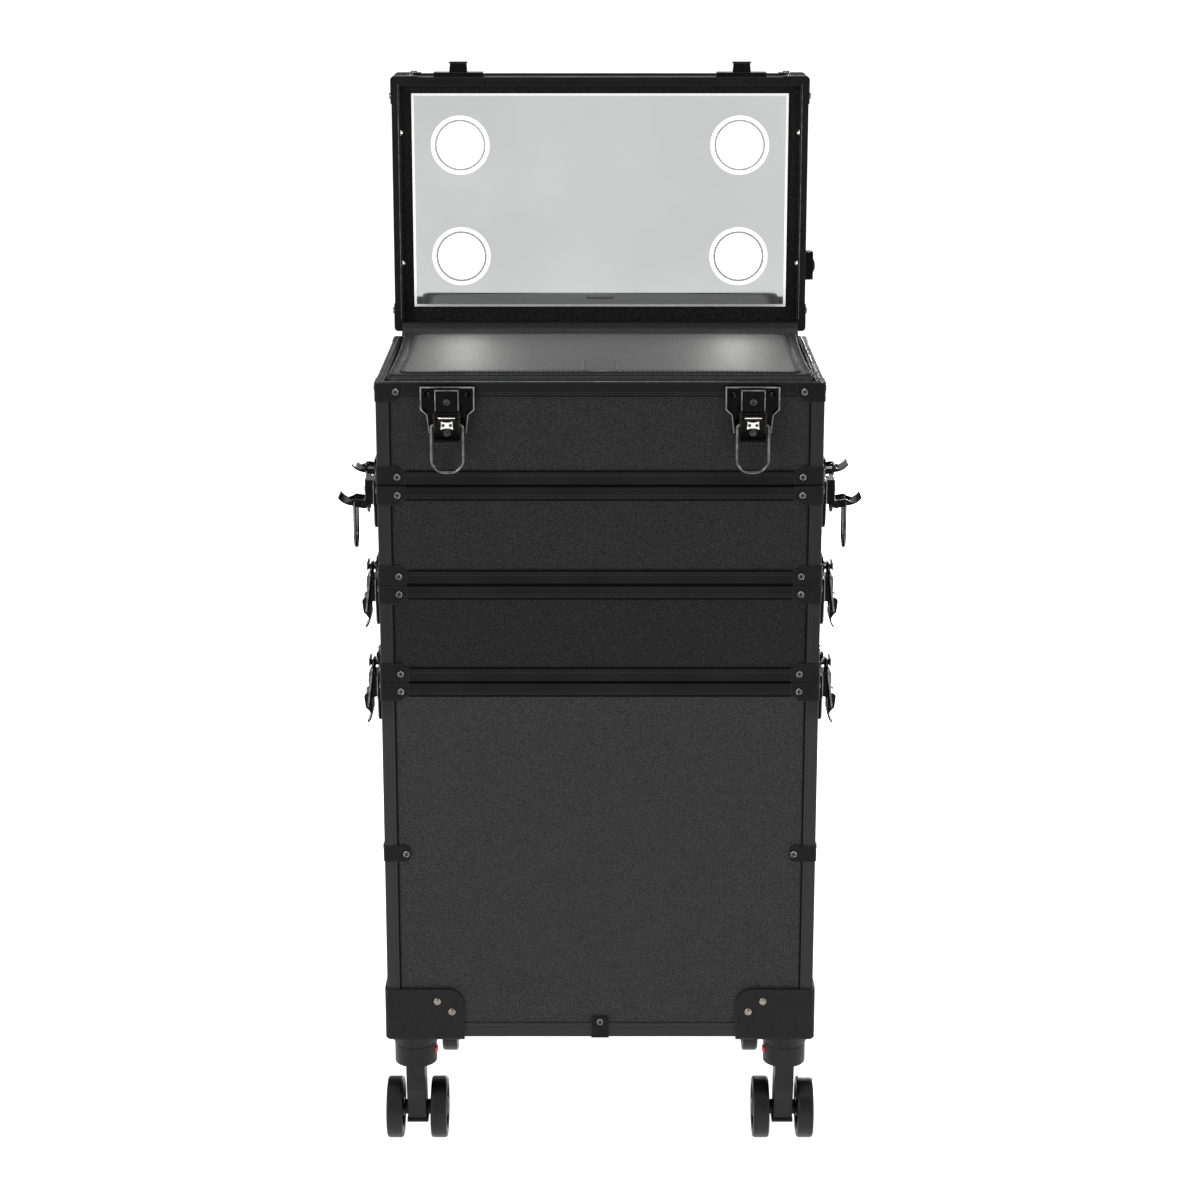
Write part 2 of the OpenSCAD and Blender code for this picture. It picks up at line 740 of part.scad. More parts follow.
// One hinge leaf below the axis: plate on the wall, knuckles at the given stretches along x
module hinge_leaf(knuckles, bore) {
    translate([-hinge_len / 2, case_d / 2, hinge_z - hinge_r - 1 - hinge_leaf_h])
        cube([hinge_len, hinge_leaf_t, hinge_leaf_h + 1]);
    for (k = knuckles) let (len = k[1] - k[0]) difference() {
        union() {
            translate([k[0], hinge_y, hinge_z]) rotate([0, 90, 0]) cylinder(h = len, r = hinge_r);
            translate([k[0], case_d / 2, hinge_z - hinge_r - 1])
                cube([len, hinge_off, hinge_r + 1 - seam / 2]);
        }
        translate([k[0] - 1, hinge_y, hinge_z]) rotate([0, 90, 0]) cylinder(h = len + 2, r = bore);
    }
}

// Lower leaves with the outer knuckles and the pins
module top_hinge_leaves() color("#202022") for (x = hinge_x) translate([x, 0, 0]) {
    inner = knuckle / 2 + knuckle_gap;
    hinge_leaf([[-hinge_len / 2, -inner], [inner, hinge_len / 2]], hinge_pin_r);
    translate([-hinge_len / 2, hinge_y, hinge_z]) rotate([0, 90, 0]) cylinder(h = hinge_len, r = hinge_pin_r);
}

// Upper leaves with the middle knuckle, drawn closed and turned with the lid
module lid_hinge_leaves() color("#202022") opened()
    for (x = hinge_x) translate([x, 0, 2 * hinge_z]) mirror([0, 0, 1])
        hinge_leaf([[-knuckle / 2, knuckle / 2]], hinge_pin_r + fit_gap);

// Padded board: crowned, with rolled edges, a sewn channel inside its border and drawn-in sides
module work_pad() color("#1c1c1e") {
    inset = [0, edge_in, pad_border - channel_half, pad_border, pad_border + channel_half,
        2 * pad_border - 1];
    steps_x = 14;
    steps_y = 8;
    last = inset[len(inset) - 1];
    xs = stations(pad_w, inset, last, steps_x);
    ys = stations(pad_d, inset, last, steps_y);
    nx = len(xs);
    ny = len(ys);
    top = [for (y = ys, x = xs) concat(pad_plan(x, y), pad_height(x, y))];
    bottom = [for (y = ys, x = xs) concat(pad_plan(x, y), pad_z)];
    n = nx * ny;
    rim = concat([for (i = [0 : nx - 2]) i], [for (j = [0 : ny - 2]) j * nx + nx - 1],
        [for (i = [nx - 1 : -1 : 1]) (ny - 1) * nx + i], [for (j = [ny - 1 : -1 : 1]) j * nx]);
    cells = [for (j = [0 : ny - 2], i = [0 : nx - 2]) j * nx + i];
    faces = concat(
        [for (c = cells) [c, c + nx, c + nx + 1]],
        [for (c = cells) [c, c + nx + 1, c + 1]],
        [for (c = cells) [n + c, n + c + nx + 1, n + c + nx]],
        [for (c = cells) [n + c, n + c + 1, n + c + nx + 1]],
        [for (k = [0 : len(rim) - 1]) let (a = rim[k], b = rim[(k + 1) % len(rim)]) [a, b, n + b]],
        [for (k = [0 : len(rim) - 1]) let (a = rim[k], b = rim[(k + 1) % len(rim)]) [a, n + b, n + a]]);
    polyhedron(points = concat(top, bottom), faces = faces);
}

// Stations across the pad: the border's insets at both ends and even steps between
function stations(size, inset, last, steps) = concat(
    [for (d = inset) d - size / 2],
    [for (i = [1 : steps - 1]) (size - 2 * last) * (i / steps - 0.5)],
    [for (i = [len(inset) - 1 : -1 : 0]) size / 2 - inset[i]]);

// Plan of the pad: the sides are drawn in most half way between the corners
function pad_plan(x, y) = [
    x * (1 - 2 * pad_draw / pad_w * (1 - pow(2 * y / pad_d, 2))),
    y * (1 - 2 * pad_draw / pad_d * (1 - pow(2 * x / pad_w, 2)))];

// Height of the pad's top: rolled edge, border roll, channel, then a flat crown
function pad_height(x, y) = let (
        d = min(pad_w / 2 - abs(x), pad_d / 2 - abs(y)),
        roll = d < edge_in / 2 ? -edge_drop : d < pad_border - channel_half - 1 ? -border_dip : 0,
        channel = abs(d - pad_border) < channel_half / 2 ? -channel_deep : 0,
        swell = (1 - pow(2 * x / pad_w, 4)) * (1 - pow(2 * y / pad_d, 4)),
        crown = d > pad_border + channel_half / 2 ? pad_crown * swell : 0)
    pad_top + roll + channel + crown;

// Lid, drawn closed and turned open about its hinges

module lid_panels() color("#1f1f21") opened() {
    tier_panels(z_lid, lid_h, floor_up = true);
    translate([0, 0, mirror_z + mirror_t]) inner_board(board_t);
}

module lid_edge_frame() color("#121213") opened() {
    tier_trims(z_lid, lid_h, 0);
    tier_caps(z_lid, lid_h);
}

module mirror_glass() color("#c9ced2") opened()
    translate([-mirror_w / 2, -mirror_d / 2 - mirror_up, mirror_z]) cube([mirror_w, mirror_d, mirror_t]);

// Each lamp is a ring and a slightly raised lens on the glass
module lamps() color("#fbfbf7") opened()
    for (sx = [-1, 1], sy = [-1, 1])
        translate([sx * lamp_x, sy * lamp_y - mirror_up, mirror_z]) mirror([0, 0, 1]) {
            difference() {
                cylinder(h = lamp_t, r = lamp_r);
                translate([0, 0, -1]) cylinder(h = lamp_t + 2, r = lens_r);
            }
            cylinder(h = lens_t, r = lens_r - joint);
        }

// Catches on the front wall, handle brackets on the top, switch housing on the right side
module lid_fittings() color("#161618") opened() {
    for (l = lid_latches) on_wall(l) latch_catch();
    for (side = [0, 1]) mirror([side, 0, 0]) translate([handle_w / 2 + arm_t / 2 + handle_gap, 0, lid_top]) {
        translate([0, -bracket_foot / 2, -trim_t])
            cube([handle_base_t, bracket_foot, trim_t + handle_up + 3]);
        translate([0, 0, handle_up]) rotate([0, 90, 0]) cylinder(h = handle_base_t, r = bracket_eye_r);
        translate([-arm_t - handle_gap, 0, handle_up]) rotate([0, 90, 0])
            cylinder(h = arm_t + handle_gap + 1, r = handle_pin_r);
    }
    translate([case_w / 2 - trim_t, switch_y, switch_z]) rotate([0, 90, 0]) difference() {
        linear_extrude(switch_out + trim_t) rr(switch_wide, switch_len, switch_r);
        translate([0, 0, switch_floor]) linear_extrude(switch_out + trim_t)
            square([rocker_wide + 2 * rocker_gap, rocker_len + 2 * rocker_gap], center = true);
    }
}

// Bail handle that hangs from its brackets while the lid stands open
module carry_handle() color("#1a1a1c") opened()
    translate([0, 0, handle_z]) rotate([lid_open - 90, 0, 0]) difference() {
        union() {
            for (sx = [-1, 1]) translate([sx * handle_w / 2, 0, 0]) rotate([0, 90, 0])
                linear_extrude(arm_t, center = true) {
                    circle(handle_r);
                    translate([-arm_h / 2, 0]) square([arm_h, handle_reach]);
                }
            translate([0, handle_reach, 0]) rotate([0, 90, 0])
                cylinder(h = handle_w + arm_t, r = handle_r, center = true);
        }
        for (sx = [-1, 1]) translate([sx * handle_w / 2, 0, 0]) rotate([0, 90, 0])
            cylinder(h = arm_t + 1, r = handle_pin_r + fit_gap, center = true);
    }

// Rocker in the switch housing: a slice of a drum, tipped to its lit side
module light_switch() color("#26262a") opened()
    translate([case_w / 2 + switch_out + rocker_proud - rocker_r, switch_y, switch_z])
        rotate([0, 0, rocker_tilt]) linear_extrude(rocker_wide, center = true) intersection() {
            circle(rocker_r);
            translate([rocker_r - rocker_deep, 1 - rocker_len / 2]) square([rocker_deep, rocker_len - 2]);
        }

base_panels();
lower_tray_panels();
middle_tray_panels();
edge_trims();
corner_caps();
caster_corners();
latch_plates();
latch_catches();
trolley_sleeves();
trolley_grip();
trolley_button();
top_panels();
top_edge_frame();
top_latch_fittings();
top_hinge_leaves();
work_pad();
lid_panels();
lid_edge_frame();
mirror_glass();  // mirror
lamps();
lid_fittings();
lid_hinge_leaves();
carry_handle();
light_switch();
for (c = casters) caster_fork(c);
for (c = casters) caster_wheels(c);
for (l = latches) latch_lever(l);
for (l = latches) latch_bail(l);
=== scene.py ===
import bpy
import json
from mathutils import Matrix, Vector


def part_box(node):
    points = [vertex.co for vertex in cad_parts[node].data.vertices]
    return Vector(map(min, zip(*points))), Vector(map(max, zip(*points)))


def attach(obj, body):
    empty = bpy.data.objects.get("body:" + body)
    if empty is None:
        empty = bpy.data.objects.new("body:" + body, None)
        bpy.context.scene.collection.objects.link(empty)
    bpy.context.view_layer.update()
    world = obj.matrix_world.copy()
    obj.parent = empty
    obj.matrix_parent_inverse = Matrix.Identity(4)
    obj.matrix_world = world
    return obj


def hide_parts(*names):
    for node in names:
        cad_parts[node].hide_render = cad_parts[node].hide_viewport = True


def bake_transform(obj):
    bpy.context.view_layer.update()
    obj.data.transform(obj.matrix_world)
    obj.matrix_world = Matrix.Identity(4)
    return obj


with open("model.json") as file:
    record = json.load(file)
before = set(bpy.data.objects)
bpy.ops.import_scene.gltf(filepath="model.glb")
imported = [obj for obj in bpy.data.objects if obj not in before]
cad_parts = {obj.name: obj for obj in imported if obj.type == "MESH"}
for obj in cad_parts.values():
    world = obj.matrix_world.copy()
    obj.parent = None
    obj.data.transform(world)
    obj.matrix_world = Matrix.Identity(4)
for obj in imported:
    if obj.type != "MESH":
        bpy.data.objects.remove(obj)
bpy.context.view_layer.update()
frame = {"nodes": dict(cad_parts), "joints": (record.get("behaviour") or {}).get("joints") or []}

import json
import math

import bmesh
import bpy
import numpy as np


# Panels: boards faced with black laminate that is rolled with a fine pebble, five to each tier.
# The edge trims are riveted over their edges, so only the flat faces show. Each tier's laminate is
# scaled by its own factor: painted light and shade, for how the light falls on each tier.
PANEL_PAINTED_LIGHT = {"base": 1.0, "lower_tray": 0.56, "middle_tray": 0.68, "top": 0.74, "lid": 0.52}
LAMINATE = np.array([0.0036, 0.0036, 0.0038])
LAMINATE_PALE = np.array([0.0266, 0.0266, 0.0271])
GRAIN = 0.0010
PEBBLE = 0.0013
PEBBLE_DEEP = 0.00020


def new_finish(name, colour, rough, metal=0.0, gloss=0.5):
    """A surface with its even values on the shader's own sockets."""
    finish = bpy.data.materials.new(name)
    finish.use_nodes = True
    shader = finish.node_tree.nodes["Principled BSDF"]
    shader.inputs["Base Color"].default_value = (*colour, 1)
    shader.inputs["Roughness"].default_value = rough
    shader.inputs["Metallic"].default_value = metal
    shader.inputs["Specular IOR Level"].default_value = gloss
    return finish


def node(finish, kind, **sockets):
    """Adds a node. A socket given another node's output is wired to it, and any other is set."""
    made = finish.node_tree.nodes.new("ShaderNode" + kind)
    for name, value in sockets.items():
        socket = made.inputs[name.replace("_", " ")]
        if isinstance(value, bpy.types.NodeSocket):
            finish.node_tree.links.new(value, socket)
        else:
            socket.default_value = value
    return made


def wire(finish, output, socket):
    """Leads an output to a socket of the finish's shader."""
    shader = finish.node_tree.nodes["Principled BSDF"]
    finish.node_tree.links.new(output, shader.inputs[socket])


def noise_at(finish, size):
    """Noise with patches of the given size in metres, on the piece's own coordinates."""
    place = node(finish, "TexCoord").outputs["Object"]
    return node(finish, "TexNoise", Vector=place, Scale=1 / size, Detail=3.0).outputs["Fac"]


def mottle(finish, size, dark, pale, spread=(0.36, 0.66)):
    """The colour slides from dark to pale with noise of the given size."""
    ramp = node(finish, "ValToRGB", Fac=noise_at(finish, size))
    for stop, at, shade in zip(ramp.color_ramp.elements, spread, (dark, pale)):
        stop.position = at
        stop.color = (*shade, 1)
    wire(finish, ramp.outputs["Color"], "Base Color")
    return ramp.outputs["Color"]


def uneven_gloss(finish, size, low, high):
    """The roughness wanders between two values with noise of the given size."""
    span = node(finish, "MapRange", Value=noise_at(finish, size), From_Min=0.3, From_Max=0.7,
                To_Min=low, To_Max=high)
    wire(finish, span.outputs["Result"], "Roughness")


def relief(finish, height, deep, round_edge=0.0):
    """Bumps of the given depth from a height pattern, over edges rounded by the given radius."""
    bump = node(finish, "Bump", Height=height, Distance=deep)
    if round_edge > 0:
        soft = node(finish, "Bevel", Radius=round_edge)
        finish.node_tree.links.new(soft.outputs["Normal"], bump.inputs["Normal"])
    wire(finish, bump.outputs["Normal"], "Normal")


def pebbles(finish, size):
    """Domed cells of the given size: the distance to the nearest cell's middle, turned over."""
    place = node(finish, "TexCoord").outputs["Object"]
    cells = node(finish, "TexVoronoi", Vector=place, Scale=1 / size)
    domed = node(finish, "MapRange", Value=cells.outputs["Distance"], From_Max=0.8, To_Min=1.0, To_Max=0.0)
    return domed.outputs["Result"]


def dress(finish, names):
    """The named nodes of the frame take the finish."""
    for name in names:
        slots = frame["nodes"][name].data.materials
        slots.clear()
        slots.append(finish)


for tier, shade in PANEL_PAINTED_LIGHT.items():
    # Painted light and shade: the colours and gloss are scaled by the tier's factor.
    laminate = new_finish(f"pebbled_laminate_{tier}", LAMINATE * shade, 0.5, gloss=0.16 * shade)
    mottle(laminate, GRAIN, LAMINATE * shade, LAMINATE_PALE * shade, spread=(0.40, 0.60))
    uneven_gloss(laminate, 0.06, 0.38, 0.52)
    relief(laminate, pebbles(laminate, PEBBLE), PEBBLE_DEEP, round_edge=0.0006)
    dress(laminate, [f"{tier}_panels"])


# Edge trims: drawn aluminium angles with a groove along each face, anodised satin black and
# riveted over the boards' edges. The edges go lighter, worn and with a painted highlight; the posts
# carry a painted sheen; dark lines of painted shade run along the seams; and the trims go paler
# below a height, painted light for the brighter lit base.
TRIM = (0.0042, 0.0042, 0.0044)
TRIM_PALE = (0.0064, 0.0064, 0.0066)
TRIM_RUBBED_HIGHLIGHT = (0.045, 0.045, 0.046)
TRIM_LIT_PALE = (0.0225, 0.0225, 0.0230)
TRIM_POST_SHEEN = (0.0150, 0.0150, 0.0154)
TRIM_SHADE = (0.0022, 0.0022, 0.0023)
TRIM_GLOSS = 0.07
# Painted light: below these heights the trims go paler, as the base is lit brighter than the tiers.
LIT_PALE_FROM = 0.385
LIT_PALE_TO = 0.400
FIRST_SEAM = 0.4220
SEAM_PITCH = 0.0828
RIM_Z = 0.6724
FLANGE = 0.0119
POST_X = 0.1685
POST_Y = 0.0985
SHADE_WIDE = 0.0006
CAP_HIGH = 0.0161
CAP_FROM_X = 0.1565
CAP_FROM_Y = 0.0865


def between(finish, factor, colour, other):
    """The output of a colour, mixed with a fixed colour by the given factor. The mix node has sockets of
    the same names for each kind of value, so its colour sockets are taken by number."""
    blend = node(finish, "Mix")
    blend.data_type = "RGBA"
    factor_socket, first, second = (blend.inputs[i] for i in (0, 6, 7))
    finish.node_tree.links.new(factor, factor_socket)
    finish.node_tree.links.new(colour, first)
    second.default_value = (*other, 1)
    return blend.outputs[2]


def rub_and_highlight_edges(finish, colour, rubbed_highlight, reach):
    """Edges go to the rubbed colour, which is wear and a painted highlight in one: there the normal averaged
    over reach leaves the face's own.
    """
    soft = node(finish, "Bevel", Radius=reach)
    soft.samples = 8
    face = node(finish, "NewGeometry")
    along = node(finish, "VectorMath")
    along.operation = "DOT_PRODUCT"
    finish.node_tree.links.new(soft.outputs["Normal"], along.inputs[0])
    finish.node_tree.links.new(face.outputs["Normal"], along.inputs[1])
    mask = node(finish, "MapRange", Value=along.outputs["Value"], From_Min=0.97, From_Max=0.78)
    tone = between(finish, mask.outputs["Result"], colour, rubbed_highlight)
    wire(finish, tone, "Base Color")
    return tone


def painted_light_below(finish, colour, lit_pale):
    """The colour goes over to a paler tone below a height on the piece: painted light, for the brighter lit
    base.
    """
    place = node(finish, "TexCoord").outputs["Object"]
    height = node(finish, "SeparateXYZ", Vector=place).outputs["Z"]
    mask = node(finish, "MapRange", Value=height, From_Min=LIT_PALE_TO, From_Max=LIT_PALE_FROM)
    return between(finish, mask.outputs["Result"], colour, lit_pale)


def reckon(finish, operation, *values):
    """One step of arithmetic on values that are numbers or other nodes' outputs."""
    made = node(finish, "Math")
    made.operation = operation
    for socket, value in zip(made.inputs, values):
        if isinstance(value, bpy.types.NodeSocket):
            finish.node_tree.links.new(value, socket)
        else:
            socket.default_value = value
    return made.outputs["Value"]


def fade(finish, value, off, on):
    """A factor that grows from nothing where the value is at off to one where it is at on."""
    return node(finish, "MapRange", Value=value, From_Min=off, From_Max=on).outputs["Result"]


def trim_zones(finish):
    """Two factors over the trims: the upright posts between their caps, which take a painted sheen, and
    the painted shade lines along the seams between tiers and along the inner edges of posts and rails.
    The distance from the nearest seam is the height folded over half the seams' pitch."""
    spot = node(finish, "SeparateXYZ", Vector=node(finish, "TexCoord").outputs["Object"]).outputs
    wide = reckon(finish, "ABSOLUTE", spot["X"])
    deep = reckon(finish, "ABSOLUTE", spot["Y"])
    above = reckon(finish, "MAXIMUM", spot["Z"], FIRST_SEAM - SEAM_PITCH / 2)
    tiers = reckon(finish, "MINIMUM", above, FIRST_SEAM + 2.5 * SEAM_PITCH)
    from_seam = reckon(finish, "PINGPONG", reckon(finish, "SUBTRACT", tiers, FIRST_SEAM), SEAM_PITCH / 2)
    over_cap = fade(finish, from_seam, CAP_HIGH, CAP_HIGH + SHADE_WIDE)
    under_cap = fade(finish, spot["Z"], RIM_Z - CAP_HIGH, RIM_Z - CAP_HIGH - SHADE_WIDE)
    upright = reckon(finish, "MULTIPLY", over_cap, under_cap)
    at_corner = reckon(finish, "MULTIPLY", fade(finish, wide, POST_X, POST_X + SHADE_WIDE),
                       fade(finish, deep, POST_Y, POST_Y + SHADE_WIDE))
    clear_x = fade(finish, wide, CAP_FROM_X, CAP_FROM_X - SHADE_WIDE)
    clear_y = fade(finish, deep, CAP_FROM_Y, CAP_FROM_Y - SHADE_WIDE)
    lines = []
    for value, at, where in ((wide, POST_X, upright), (deep, POST_Y, upright),
                             (from_seam, FLANGE, reckon(finish, "MAXIMUM", clear_x, clear_y))):
        off_line = reckon(finish, "ABSOLUTE", reckon(finish, "SUBTRACT", value, at))
        lines.append(reckon(finish, "MULTIPLY", where, fade(finish, off_line, 1.5 * SHADE_WIDE, SHADE_WIDE)))
    edges = reckon(finish, "MAXIMUM", reckon(finish, "MAXIMUM", lines[0], lines[1]), lines[2])
    seams = fade(finish, from_seam, 3 * SHADE_WIDE, 1.6 * SHADE_WIDE)
    return reckon(finish, "MULTIPLY", at_corner, upright), reckon(finish, "MAXIMUM", seams, edges)


trim = new_finish("satin_black_trim", TRIM, 0.34, gloss=TRIM_GLOSS)
post_sheen, trim_shade_lines = trim_zones(trim)
# Painted sheen: the posts between their caps go paler, as their rounded faces catch the light.
trim_tone = between(trim, post_sheen, mottle(trim, 0.03, TRIM, TRIM_PALE), TRIM_POST_SHEEN)
# The edges go lighter: wear and a painted highlight.
trim_tone = rub_and_highlight_edges(trim, painted_light_below(trim, trim_tone, TRIM_LIT_PALE), TRIM_RUBBED_HIGHLIGHT, 0.0007)
# Painted shade: dark lines in the seams between tiers and along the inner edges of posts and rails.
wire(trim, between(trim, trim_shade_lines, trim_tone, TRIM_SHADE), "Base Color")
trim_shine = node(trim, "MapRange", Value=trim_shade_lines, To_Min=TRIM_GLOSS, To_Max=0.3 * TRIM_GLOSS)
wire(trim, trim_shine.outputs["Result"], "Specular IOR Level")
uneven_gloss(trim, 0.018, 0.28, 0.40)
relief(trim, noise_at(trim, 0.0009), 0.00002, round_edge=0.0006)
dress(trim, ["edge_trims", "top_edge_frame", "lid_edge_frame"])


# Corner caps and clips: stamped steel folded round the tier corners, powder coated matte black.
# Each is held by a domed rivet through every face.
CAP = (0.0044, 0.0044, 0.0047)
CAP_PALE = (0.0066, 0.0066, 0.0069)
CAP_RUBBED_HIGHLIGHT = (0.055, 0.055, 0.056)
CAP_SHEET = 0.0008
RIVET = (0.0031, 0.0015)
RIVET_IN = 0.0165
RIVET_FROM_EDGE = 0.0071
CLIP_RIVET_IN = 0.0185
CLIP_Z = 0.2726
FOOT_CLIP_Z = 0.1216
NICKEL = (0.12, 0.118, 0.115)
NICKEL_PALE = (0.21, 0.207, 0.202)
TIER_Z = {"base": (0.1076, 0.4216), "lower": (0.4224, 0.5044), "middle": (0.5052, 0.5872),
          "top": (0.588, 0.672), "lid": (0.6728, 0.7288)}
HINGE_Y = 0.114
HINGE_Z = 0.6724
LID_OPEN = math.radians(90.5)

cap_paint = new_finish("matte_black_cap", CAP, 0.46, gloss=0.08)
cap_tone = mottle(cap_paint, 0.012, CAP, CAP_PALE)
# The edges go lighter: wear and a painted highlight.
rub_and_highlight_edges(cap_paint, cap_tone, CAP_RUBBED_HIGHLIGHT, 0.0005)
uneven_gloss(cap_paint, 0.02, 0.40, 0.52)
relief(cap_paint, noise_at(cap_paint, 0.0006), 0.00003, round_edge=0.0005)
dress(cap_paint, ["corner_caps"])

nickel = new_finish("dark_nickel", NICKEL, 0.22, metal=1.0)
mottle(nickel, 0.004, NICKEL, NICKEL_PALE)
uneven_gloss(nickel, 0.003, 0.16, 0.28)

case_half = np.array(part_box("edge_trims")[1])


def opened(points):
    """Points of the closed lid, turned about the hinge axis to where the lid stands open."""
    dy = points[..., 1] - HINGE_Y
    dz = points[..., 2] - HINGE_Z
    y = HINGE_Y + dy * math.cos(LID_OPEN) + dz * math.sin(LID_OPEN)
    z = HINGE_Z - dy * math.sin(LID_OPEN) + dz * math.cos(LID_OPEN)
    return np.stack([points[..., 0], y, z], -1)


def revolved(places, outs, profile, turns=20):
    """Heads that stand on places: (radius, height) pairs of the profile, carried round each out
    direction. The result has one grid of rows along the profile for each place."""
    places = np.asarray(places, float)
    outs = np.asarray(outs, float)
    radius, height = np.asarray(profile, float).T
    lean = np.where(np.abs(outs[:, 2:]) > 0.9, [[1.0, 0.0, 0.0]], [[0.0, 0.0, 1.0]])
    side = np.cross(outs, lean)
    side /= np.linalg.norm(side, axis=1, keepdims=True)
    angle = np.linspace(0, 2 * np.pi, turns + 1)[None, :, None]
    ring = np.cos(angle) * side[:, None] + np.sin(angle) * np.cross(outs, side)[:, None]
    spread = radius[None, :, None, None] * ring[:, None]
    rise = height[None, :, None, None] * outs[:, None, None]
    return places[:, None, None] + spread + rise


def dome(radius, high, sink=0.0003, steps=7):
    """Profile of a rivet head: a flat foot sunk a little, then a quarter ellipse up to the pole."""
    turn = np.linspace(0, np.pi / 2, steps)
    foot = [(0.0, -sink), (radius, -sink)]
    return np.concatenate([foot, np.stack([radius * np.cos(turn), high * np.sin(turn)], 1)])


def eyelet(radius, high):
    """Profile of a tubular rivet: up the rolled rim to its crest at three quarters of the radius, then
    down into the hollow in the middle."""
    across = np.array([0.0, 1.0, 1.0, 0.95, 0.86, 0.75, 0.64, 0.56, 0.50, 0.30, 0.0])
    rise = np.array([-0.2, -0.2, 0.15, 0.55, 0.86, 1.0, 0.88, 0.50, 0.10, -0.05, -0.10])
    return np.stack([across * radius, rise * high], 1)


def lay(name, grids, finish, body, sharp=40):
    """One piece from grids of points (copies, rows, columns, 3), with a face between neighbours.
    Doubles are merged, so that seams and poles close, and the faces are turned outwards. A piece
    without a body is left unattached."""
    corners = []
    quads = []
    start = 0
    for grid in grids:
        grid = np.asarray(grid, float)
        grid = grid.reshape(-1, *grid.shape[-3:])
        index = start + np.arange(grid[..., 0].size).reshape(grid.shape[:-1])
        ring = [index[:, :-1, :-1], index[:, 1:, :-1], index[:, 1:, 1:], index[:, :-1, 1:]]
        quads.append(np.stack(ring, -1).reshape(-1, 4))
        corners.append(grid.reshape(-1, 3))
        start += index.size
    mesh = bpy.data.meshes.new(name)
    mesh.from_pydata(np.concatenate(corners).tolist(), [], np.concatenate(quads).tolist())
    shape = bmesh.new()
    shape.from_mesh(mesh)
    bmesh.ops.remove_doubles(shape, verts=shape.verts, dist=1e-6)
    bmesh.ops.recalc_face_normals(shape, faces=shape.faces)
    shape.to_mesh(mesh)
    shape.free()
    mesh.shade_smooth()
    mesh.set_sharp_from_angle(angle=math.radians(sharp))
    mesh.materials.append(finish)
    piece = bpy.data.objects.new(name, mesh)
    bpy.context.scene.collection.objects.link(piece)
    if body:
        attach(piece, body)
    return piece


def edge_spots(z, inset, proud):
    """Two spots at each upright edge at height z, one on each face, and their out directions."""
    spots = []
    outs = []
    for sx in (-1, 1):
        for sy in (-1, 1):
            spots.append((sx * (case_half[0] - inset), sy * (case_half[1] + proud), z))
            spots.append((sx * (case_half[0] + proud), sy * (case_half[1] - inset), z))
            outs += [(0, sy, 0), (sx, 0, 0)]
    return np.array(spots), np.array(outs, float)


def cap_rivets(tier, low=True, high=True):
    """Rivets of a tier's corner caps."""
    ends = [TIER_Z[tier][0] + RIVET_FROM_EDGE] * low + [TIER_Z[tier][1] - RIVET_FROM_EDGE] * high
    return [revolved(*edge_spots(z, RIVET_IN, CAP_SHEET), eyelet(*RIVET)) for z in ends]


foot_spots = [(0, sy * (case_half[1] + CAP_SHEET), FOOT_CLIP_Z) for sy in (-1, 1)]
foot_outs = [(0, -1, 0), (0, 1, 0)]
base_rivets = cap_rivets("base", low=False) + cap_rivets("lower") + cap_rivets("middle")
base_rivets.append(revolved(*edge_spots(CLIP_Z, CLIP_RIVET_IN, CAP_SHEET), eyelet(*RIVET)))
base_rivets.append(revolved(foot_spots, foot_outs, eyelet(*RIVET)))
lay("rivets_base", base_rivets, nickel, "base")
lay("rivets_top_case", cap_rivets("top"), nickel, "top_case")
lay("rivets_lid", [opened(grid) for grid in cap_rivets("lid")], nickel, "lid")


# Caster corners: thick pressed corners with a rounded upper end, crinkle coated black, that wrap
# the foot of the base and carry the casters. Two rivets hold each face.
CORNER = (0.0056, 0.0056, 0.0058)
CORNER_PALE = (0.0086, 0.0086, 0.0088)
CORNER_PROUD = 0.002
CORNER_FOOT = 0.105
CORNER_RIVETS = [(0.0443, 0.0354), (0.0566, 0.0260)]
CORNER_RIVET = (0.0034, 0.0016)
BRONZE = (0.150, 0.133, 0.112)
BRONZE_PALE = (0.25, 0.224, 0.190)

corner_paint = new_finish("crinkle_black_corner", CORNER, 0.5, gloss=0.12)
corner_tone = mottle(corner_paint, 0.004, CORNER, CORNER_PALE)
# The edges go lighter: wear and a painted highlight.
rub_and_highlight_edges(corner_paint, corner_tone, CAP_RUBBED_HIGHLIGHT, 0.0007)
uneven_gloss(corner_paint, 0.02, 0.44, 0.56)
relief(corner_paint, pebbles(corner_paint, 0.0009), 0.00008, round_edge=0.0012)
dress(corner_paint, ["caster_corners"])

bronze = new_finish("bronzed_rivet", BRONZE, 0.24, metal=1.0)
mottle(bronze, 0.003, BRONZE, BRONZE_PALE)
uneven_gloss(bronze, 0.003, 0.18, 0.30)
corner_rivets = [
    revolved(*edge_spots(CORNER_FOOT + up, inset - CORNER_PROUD, CORNER_PROUD), dome(*CORNER_RIVET))
    for inset, up in CORNER_RIVETS]
lay("rivets_corners", corner_rivets, bronze, "base")


# Casters: moulded nylon heads and legs that swivel, with a red release tab beside the neck, and
# twin wheels with soft treads on one axle.
NYLON = (0.0050, 0.0050, 0.0053)
NYLON_PALE = (0.0078, 0.0078, 0.0081)
RUBBER = (0.0040, 0.0040, 0.0042)
RUBBER_PALE = (0.0062, 0.0062, 0.0064)
TAB_RED = (0.48, 0.012, 0.020)
TAB_RED_PALE = (0.60, 0.02, 0.03)
RED_TAB_IN = 0.0176
RED_TAB_AHEAD = 0.004
RED_TAB_Z = 0.0885
RED_TAB_SIZE = (0.0036, 0.0070, 0.0062)
CASTERS = [f"{end}_{side}" for end in ("front", "rear") for side in ("left", "right")]

